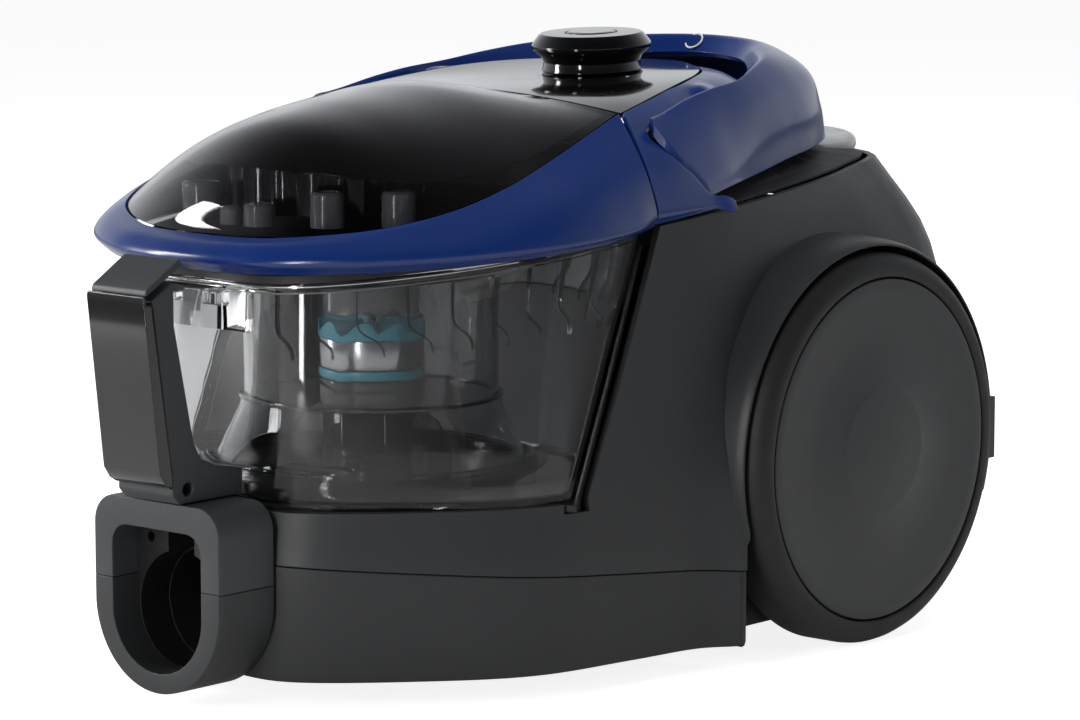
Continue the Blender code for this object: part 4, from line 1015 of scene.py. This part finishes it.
def lid_lens():
    lens = skin("v_lid_lens", bow_grid(LENS, 72, 56), SKIN_T, "lens_smoke")
    dress(lens, "lid", ["lid_lens"], 0.3)


def lid_frame():
    rim = cup_ring(1.0)
    inn = inset(rim, 11)
    out = flare(inset(rim, 0.2), RIM_REACH)
    sides = ((out, 0.8), (out, 4.0), (inset(out, 0.5), 4.4), (inn, 4.4), (inn, 0.8))
    rings = [at_height(ring, above_rim(lift)) for ring, lift in sides]
    dress(loft("v_lid_frame", rings, "black_matte", True), "lid", ["lid_frame"])


def lens_paint():
    """Black paint behind the lens; its front edge curves back along both sides."""
    fine = smooth(LENS, LENS_STEPS + 1)
    across, starts = zip(*PAINT_EDGE)
    rear = 0.992
    grid = []
    for t in np.linspace(0, 1, 60):
        row = []
        for v in np.linspace(-0.93, 0.93, 90):
            start = np.interp(abs(v), across, starts)
            station = min(int((start + (rear - start) * t) * LENS_STEPS), LENS_STEPS)
            row.append(bow_point(fine[station], v))
        grid.append(row)
    grid = np.array(grid)
    paint = skin("v_lens_paint", grid - up_normals(grid) * PAINT_DEPTH, 0.7, "black_gloss")
    dress(paint, "lid")


def lid_plate():
    """Dark plate that closes the lid above the cup."""
    plate = inset(cup_ring(1.0), 9.5)
    sides = ((0.0, 4.5), (0.0, 5.6), (0.8, 6.2))
    rings = [at_height(inset(plate, d), above_rim(lift)) for d, lift in sides]
    dress(loft("v_lid_plate", rings, "black_matte"), "lid")


def lid_drum():
    """Fluted drum under the lens."""
    n = 180
    flute = 1.2 * np.cos(turns(n) * 14) ** 8
    sides = ((38, 183.5, 1), (38, 206.0, 1), (36.6, 207.4, 0), (10, 207.6, 0))
    rings = [round_ring(r + fluted * flute, DRUM_Y, z, n) for r, z, fluted in sides]
    dress(loft("v_lid_drum", rings, "black_gloss"), "lid")


def lid_posts():
    for k, (x, y, r, top) in enumerate(LID_POSTS, 1):
        prof = [(r, 180.5), (r, top - 1), (r - 0.8, top), (r - 2.0, top), (r - 2.0, 186)]
        post = lathe("v_lid_post_%d" % k, prof, "silver_smoke", (x, y, 0), UP, 48)
        dress(post, "lid")


# ---- inside the bin ----------------------------------------------------------
WALL_OFF = 3.0
RIB_POINTS = 14
FIN_COUNT = 8
# distance from the cyclone's axis, foot and top of a fin's corners
FIN = [(23.0, 79.2, 103.0), (30.0, 79.2, 99.0), (36.0, 79.2, 88.0)]


def wall_strip(name, reach, thick, first, last, steps, mat):
    """Strip of wall inside the cup, between two points of its ring."""
    levels = np.linspace(*reach, steps)
    strips = [inset(cup_ring(s), WALL_OFF)[first:last] for s in levels]
    strips += [inset(cup_ring(s), WALL_OFF + thick)[first:last] for s in np.linspace(*reach[::-1], steps)]
    return strip_loft(name, strips, mat)


def bin_walls():
    n = len(cup_ring(0))
    upper = wall_strip("v_bin_upper_wall", (0.70, 0.955), 1.2, FRONT_N - 4, n - FRONT_N + 5, 10, "frosted")
    dress(upper, "bin")
    rear = wall_strip("v_bin_rear_wall", (0.06, 0.69), 1.0, FRONT_N + 1, n - FRONT_N, 8, "black_matte")
    dress(rear, "bin")


def rib_corners(ring, i, k):
    """Section of a rib at point i of a ring; its lower end sways to one side."""
    step = ring[(i + 1) % len(ring)] - ring[i]
    sway = 1.6 * (1 / (1 + math.exp(-(k - 9.5) * 1.4)))
    mid = ring[i] + step * sway
    side = step / np.linalg.norm(step[:2]) * 0.35
    inward = np.array([-step[1], step[0], 0.0])
    inward = inward / np.linalg.norm(inward) * 2.2
    return [mid - side, mid + side, mid + side + inward, mid - side + inward]


def bin_ribs():
    """Thin dark ribs down the upper wall, all in one piece."""
    rings = [inset(cup_ring(s), 2.6) for s in np.linspace(0.955, 0.66, RIB_POINTS)]
    n = len(rings[0])
    verts = []
    faces = []
    for i in list(range(6, FRONT_N + 20, 3)) + list(range(n - FRONT_N - 19, n - 5, 3)):
        base = len(verts)
        for k, ring in enumerate(rings):
            verts += rib_corners(ring, i, k)
            if k:
                a = base + (k - 1) * 4
                faces += [(a + j, a + (j + 1) % 4, a + 4 + (j + 1) % 4, a + 4 + j) for j in range(4)]
        faces.append(tuple(range(base, base + 4)))
        faces.append(tuple(range(len(verts) - 4, len(verts))))
    dress(mesh_object("v_bin_ribs", verts, faces, "smoke_dark"), "bin")


def skirt_seam():
    lo, hi = CYC_R + 0.9, CYC_R + 2.0
    prof = [(lo, 107.2), (hi, 107.2), (hi, 108.4), (lo, 108.6)]
    dress(turned("v_skirt_seam", "black_gloss", prof, 128), "bin")


def floor_ridges():
    for k, (r, z) in enumerate(((64.0, 83.6), (66.5, 81.8), (69.0, 80.2)), 1):
        prof = [(r - 1.0, 78.6), (r + 1.0, 78.6), (r + 1.0, z - 0.5), (r + 0.5, z), (r - 0.5, z),
                (r - 1.0, z - 0.5)]
        dress(turned("v_floor_ridge_%d" % k, "clear_smoke", prof, 128), "bin")


def bin_floor():
    outline = inset(cup_ring(0), 5.0)
    pad = loft("v_bin_floor", [at_height(outline, z) for z in (78.3, 78.9)], "black_gloss")
    carve(pad, rod("tool_port", 19.4, -10, 10, (0, PORT_Y, 78.0), UP, 72))
    dress(pad, "bin")


def core_fins():
    """Clear fins that stand round the turbine's cup."""
    outline = [(r, foot) for r, foot, top in FIN] + [(r, top) for r, foot, top in FIN[::-1]]
    for k in range(FIN_COUNT):
        a = 2 * math.pi * k / FIN_COUNT + 0.2
        sides = []
        for w in (-0.6, 0.6):
            sides.append(np.array([(r * math.cos(a) - w * math.sin(a),
                                    CYC_Y + r * math.sin(a) + w * math.cos(a), z) for r, z in outline]))
        fin = loft("v_core_fin_%d" % (k + 1), sides, "clear_smoke")
        dress(fin, "bin", (), 0.2)


def rim_highlights():
    """Two thin bright silver lines under the lid: painted highlights where the cup's rim catches the light.
    """
    section_points = ((0, 0.6), (0, 0), (0.45, 0), (0.45, 0.6))
    # both lines are silver strips that paint the light the rim catches: painted highlights
    for name, reach, lift, mat in (("v_rim_highlight", 9.15, -0.9, "silver"),
                                   ("v_rim_highlight_low", 8.3, -3.4, "silver_smoke")):
        rim = [flare(cup_ring(1.0, lift + z), reach - d) for z, d in section_points]
        dress(loft(name, rim, mat, True), "bin")


def rim_ears():
    outline = [(-168.5, 155.0), (-161.0, 154.0), (-161.0, 160.0), (-168.5, 160.0)]
    for side, tag in ((1, "right"), (-1, "left")):
        lo, hi = sorted((side * 14.6, side * 22.5))
        dress(prism("v_rim_ear_" + tag, outline, lo, hi, "clear_smoke"), "bin", (), 0.8, 3)


# ---- top of the body ---------------------------------------------------------
DOTS = [(-9.6, 50.5), (12.5, 51.5), (27.4, 64.0), (29.0, 84.0)]
MARK_PLACE = (-6.0, 147.9, 234.9)
MARK_TILT = (0, -0.69, 0.72)
HANDLE_T = 3.0


def control_panel():
    panel = skin("v_control_panel", bow_grid(PANEL, 64, 48), SKIN_T, "black_gloss")
    carve(panel, rod("tool_shaft", 4.9, -12, 12, (0, KNOB_Y, KNOB_Z), knob_axis(), 48))
    dress(panel, "housing", ["control_panel"], 0.4)


def knob():
    """Suction dial with a grip groove round it, and the power button in its top."""
    centre = (0, KNOB_Y, KNOB_Z)
    prof = [(3.8, -16.5), (3.8, -0.1), (20.4, 0), (21, 0.5), (20.4, 2.0), (20.0, 4.0), (21.2, 6.4),
            (KNOB_R - 0.4, 9), (KNOB_R, 9.8), (KNOB_R, 11.0), (KNOB_R - 0.5, 11.9), (21.8, 15.0),
            (20.8, 15.6), (11.4, 15.7), (10.9, 15.4), (10.7, 9.2)]
    dial = lathe("v_suction_dial", prof, "black_gloss", centre, knob_axis(), 128)
    dress(dial, "dial", ["suction_dial"], 0.15, sharp=math.radians(28))
    prof = [(10.2, 12.1), (10.2, 15.4), (10.0, 15.8), (9.5, 16.0), (4.0, 15.8)]
    button = lathe("v_power_button", prof, "black_gloss", centre, knob_axis(), 96)
    dress(button, "power", ["power_button"])


def marks():
    """Plain dots beside the dial and a plain ring on the handle; no lettering."""
    fine = smooth(PANEL, 600)
    for k, (x, y) in enumerate(DOTS, 1):
        near = min((bow_point(row, x / row[0]) for row in fine), key=lambda p: abs(p[1] - y))
        dot = lathe("v_panel_dot_%d" % k, [(0.75, -0.3), (0.75, 0.06), (0.6, 0.10)], "mark_white",
                    (x, y, near[2]), UP, 24)
        dress(dot, "housing")
    prof = [(4.3, -0.3), (4.3, 0.25), (3.6, 0.25), (3.6, -0.3)]
    ring = lathe("v_handle_ring_mark", prof, "mark_white", MARK_PLACE, MARK_TILT, 64, True)
    dress(ring, "handle")


def deck_and_handle():
    deck = skin("v_deck_trim", band_grid(DECK, 120, 16), SKIN_T, "blue_gloss")
    handle = skin("v_carry_handle", band_grid(HANDLE, 100, 34), HANDLE_T, "blue_gloss")
    for ob, seam in ((deck, SEAM_DECK), (handle, SEAM_HANDLE)):
        for side in (1, -1):
            outline = [(side * x, y) for x, y in seam]
            carve(ob, prism("tool_seam", outline, 150, 260, None, "XY"), folded=True)
    dress(deck, "housing", ["deck_trim"])
    dress(handle, "handle", ["carry_handle"])


def rear_cap():
    plan = full(half([(x, y, 0) for x, y in CAP_XY], 60))
    rings = []
    for d, z in ((1.5, 0.6), (0.2, 1.2), (0.0, 2.2), (0.1, 3.6), (0.9, 4.6), (2.6, 5.2)):
        rings.append(inset(at_height(plan, lambda y, rise=z: z_top(y) + rise * cap_rise(y)), d))
    dress(loft("v_rear_cap", rings, "grey_gloss"), "housing", ["rear_cap"])


# ---- wheels ------------------------------------------------------------------
def tyre_profile():
    out, inn = WHEEL_OUT, WHEEL_IN
    return [(66, inn), (76, inn), (78.6, inn + 0.8), (WHEEL_R, inn + 3), (WHEEL_R, out - 8),
            (79.3, out - 6), (78.6, out - 4.2), (77.4, out - 2.3), (75.8, out - 0.9), (74, out),
            (71.6, out + 0.1), (CAP_R + 1.2, out - 0.1), (CAP_R + 0.6, out - 0.8),
            (CAP_R + 0.6, out - 6), (66, out - 6)]


def disc_profile():
    """Shallow dish with a raised boss in the middle."""
    out, boss = WHEEL_OUT, CAP_OUT
    return [(CAP_R, out - 5.9), (CAP_R, out - 1.2), (CAP_R - 0.3, out - 0.5), (CAP_R - 1.2, out - 0.2),
            (64, out - 0.5), (58, out - 0.9), (50, out - 1.2), (40, out - 1.5), (30, boss - 2.1),
            (26, boss - 1.75), (25.4, boss - 1.55), (24.6, boss - 1.5), (14, boss - 0.4), (5, boss)]


def wheels():
    centre = (0, WHEEL_Y, WHEEL_R)
    for side, tag, body in ((1, "right", "wheel_r"), (-1, "left", "wheel_l")):
        axis = (side, 0, 0)
        tyre = lathe("v_tyre_" + tag, tyre_profile(), "tyre_rubber", centre, axis, 160, True)
        dress(tyre, body, ["tyre_" + tag])
        disc = lathe("v_wheel_cap_" + tag, disc_profile(), "wheel_grey", centre, axis, 160)
        dress(disc, body, ["wheel_cap_" + tag])


# ---- CAD nodes that stay -----------------------------------------------------
KEPT = {
    "black_matte": ["bay_liner", "inlet_duct", "top_cover", "wheel_hub_right", "wheel_hub_left",
                    "caster_fork", "motor_housing", "prefilter_frame", "cord_reel"],
    "steel": ["base_screw_1", "base_screw_2", "wheel_axle_right", "wheel_axle_left", "motor_fan",
              "motor_rotor", "reel_axle"],
    "soft_rubber": ["lid_seal", "cord_outlet", "motor_mount_front", "motor_mount_rear", "brake_roller"],
    "body_grey": ["exhaust_cover", "rear_foot_right", "rear_foot_left"],
    "pcb_green": ["control_pcb"],
    "filter_paper": ["hepa_filter"],
    "tyre_rubber": ["caster_wheel"],
    "copper": ["motor_stator"],
    "foam": ["prefilter_sponge"],
}


def rest_of_frame():
    """Give the CAD nodes that keep their shape the finished materials."""
    for finish, nodes in KEPT.items():
        for node in nodes:
            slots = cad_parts[node].data.materials
            slots.clear()
            slots.append(MATERIALS[finish])


STEPS = [
    camera, studio, floor, body_shell, base_housing, collars, inlet_socket, dust_cup, cyclone_cylinder,
    cyclone_skirt, turbine_cup, outlet_tube, turbine_ring_and_band, turbine_blades, grip_cover, grip_back,
    release_button, bin_walls, bin_ribs, skirt_seam, floor_ridges, bin_floor, core_fins, rim_highlights, rim_ears,
    lid_ring, lid_lens, lid_frame, lens_paint, lid_plate, lid_drum, lid_posts, control_panel, knob, marks,
    deck_and_handle, rear_cap, wheels, rest_of_frame,
]


def main():
    for step in STEPS:
        step()
    bpy.context.view_layer.update()


main()
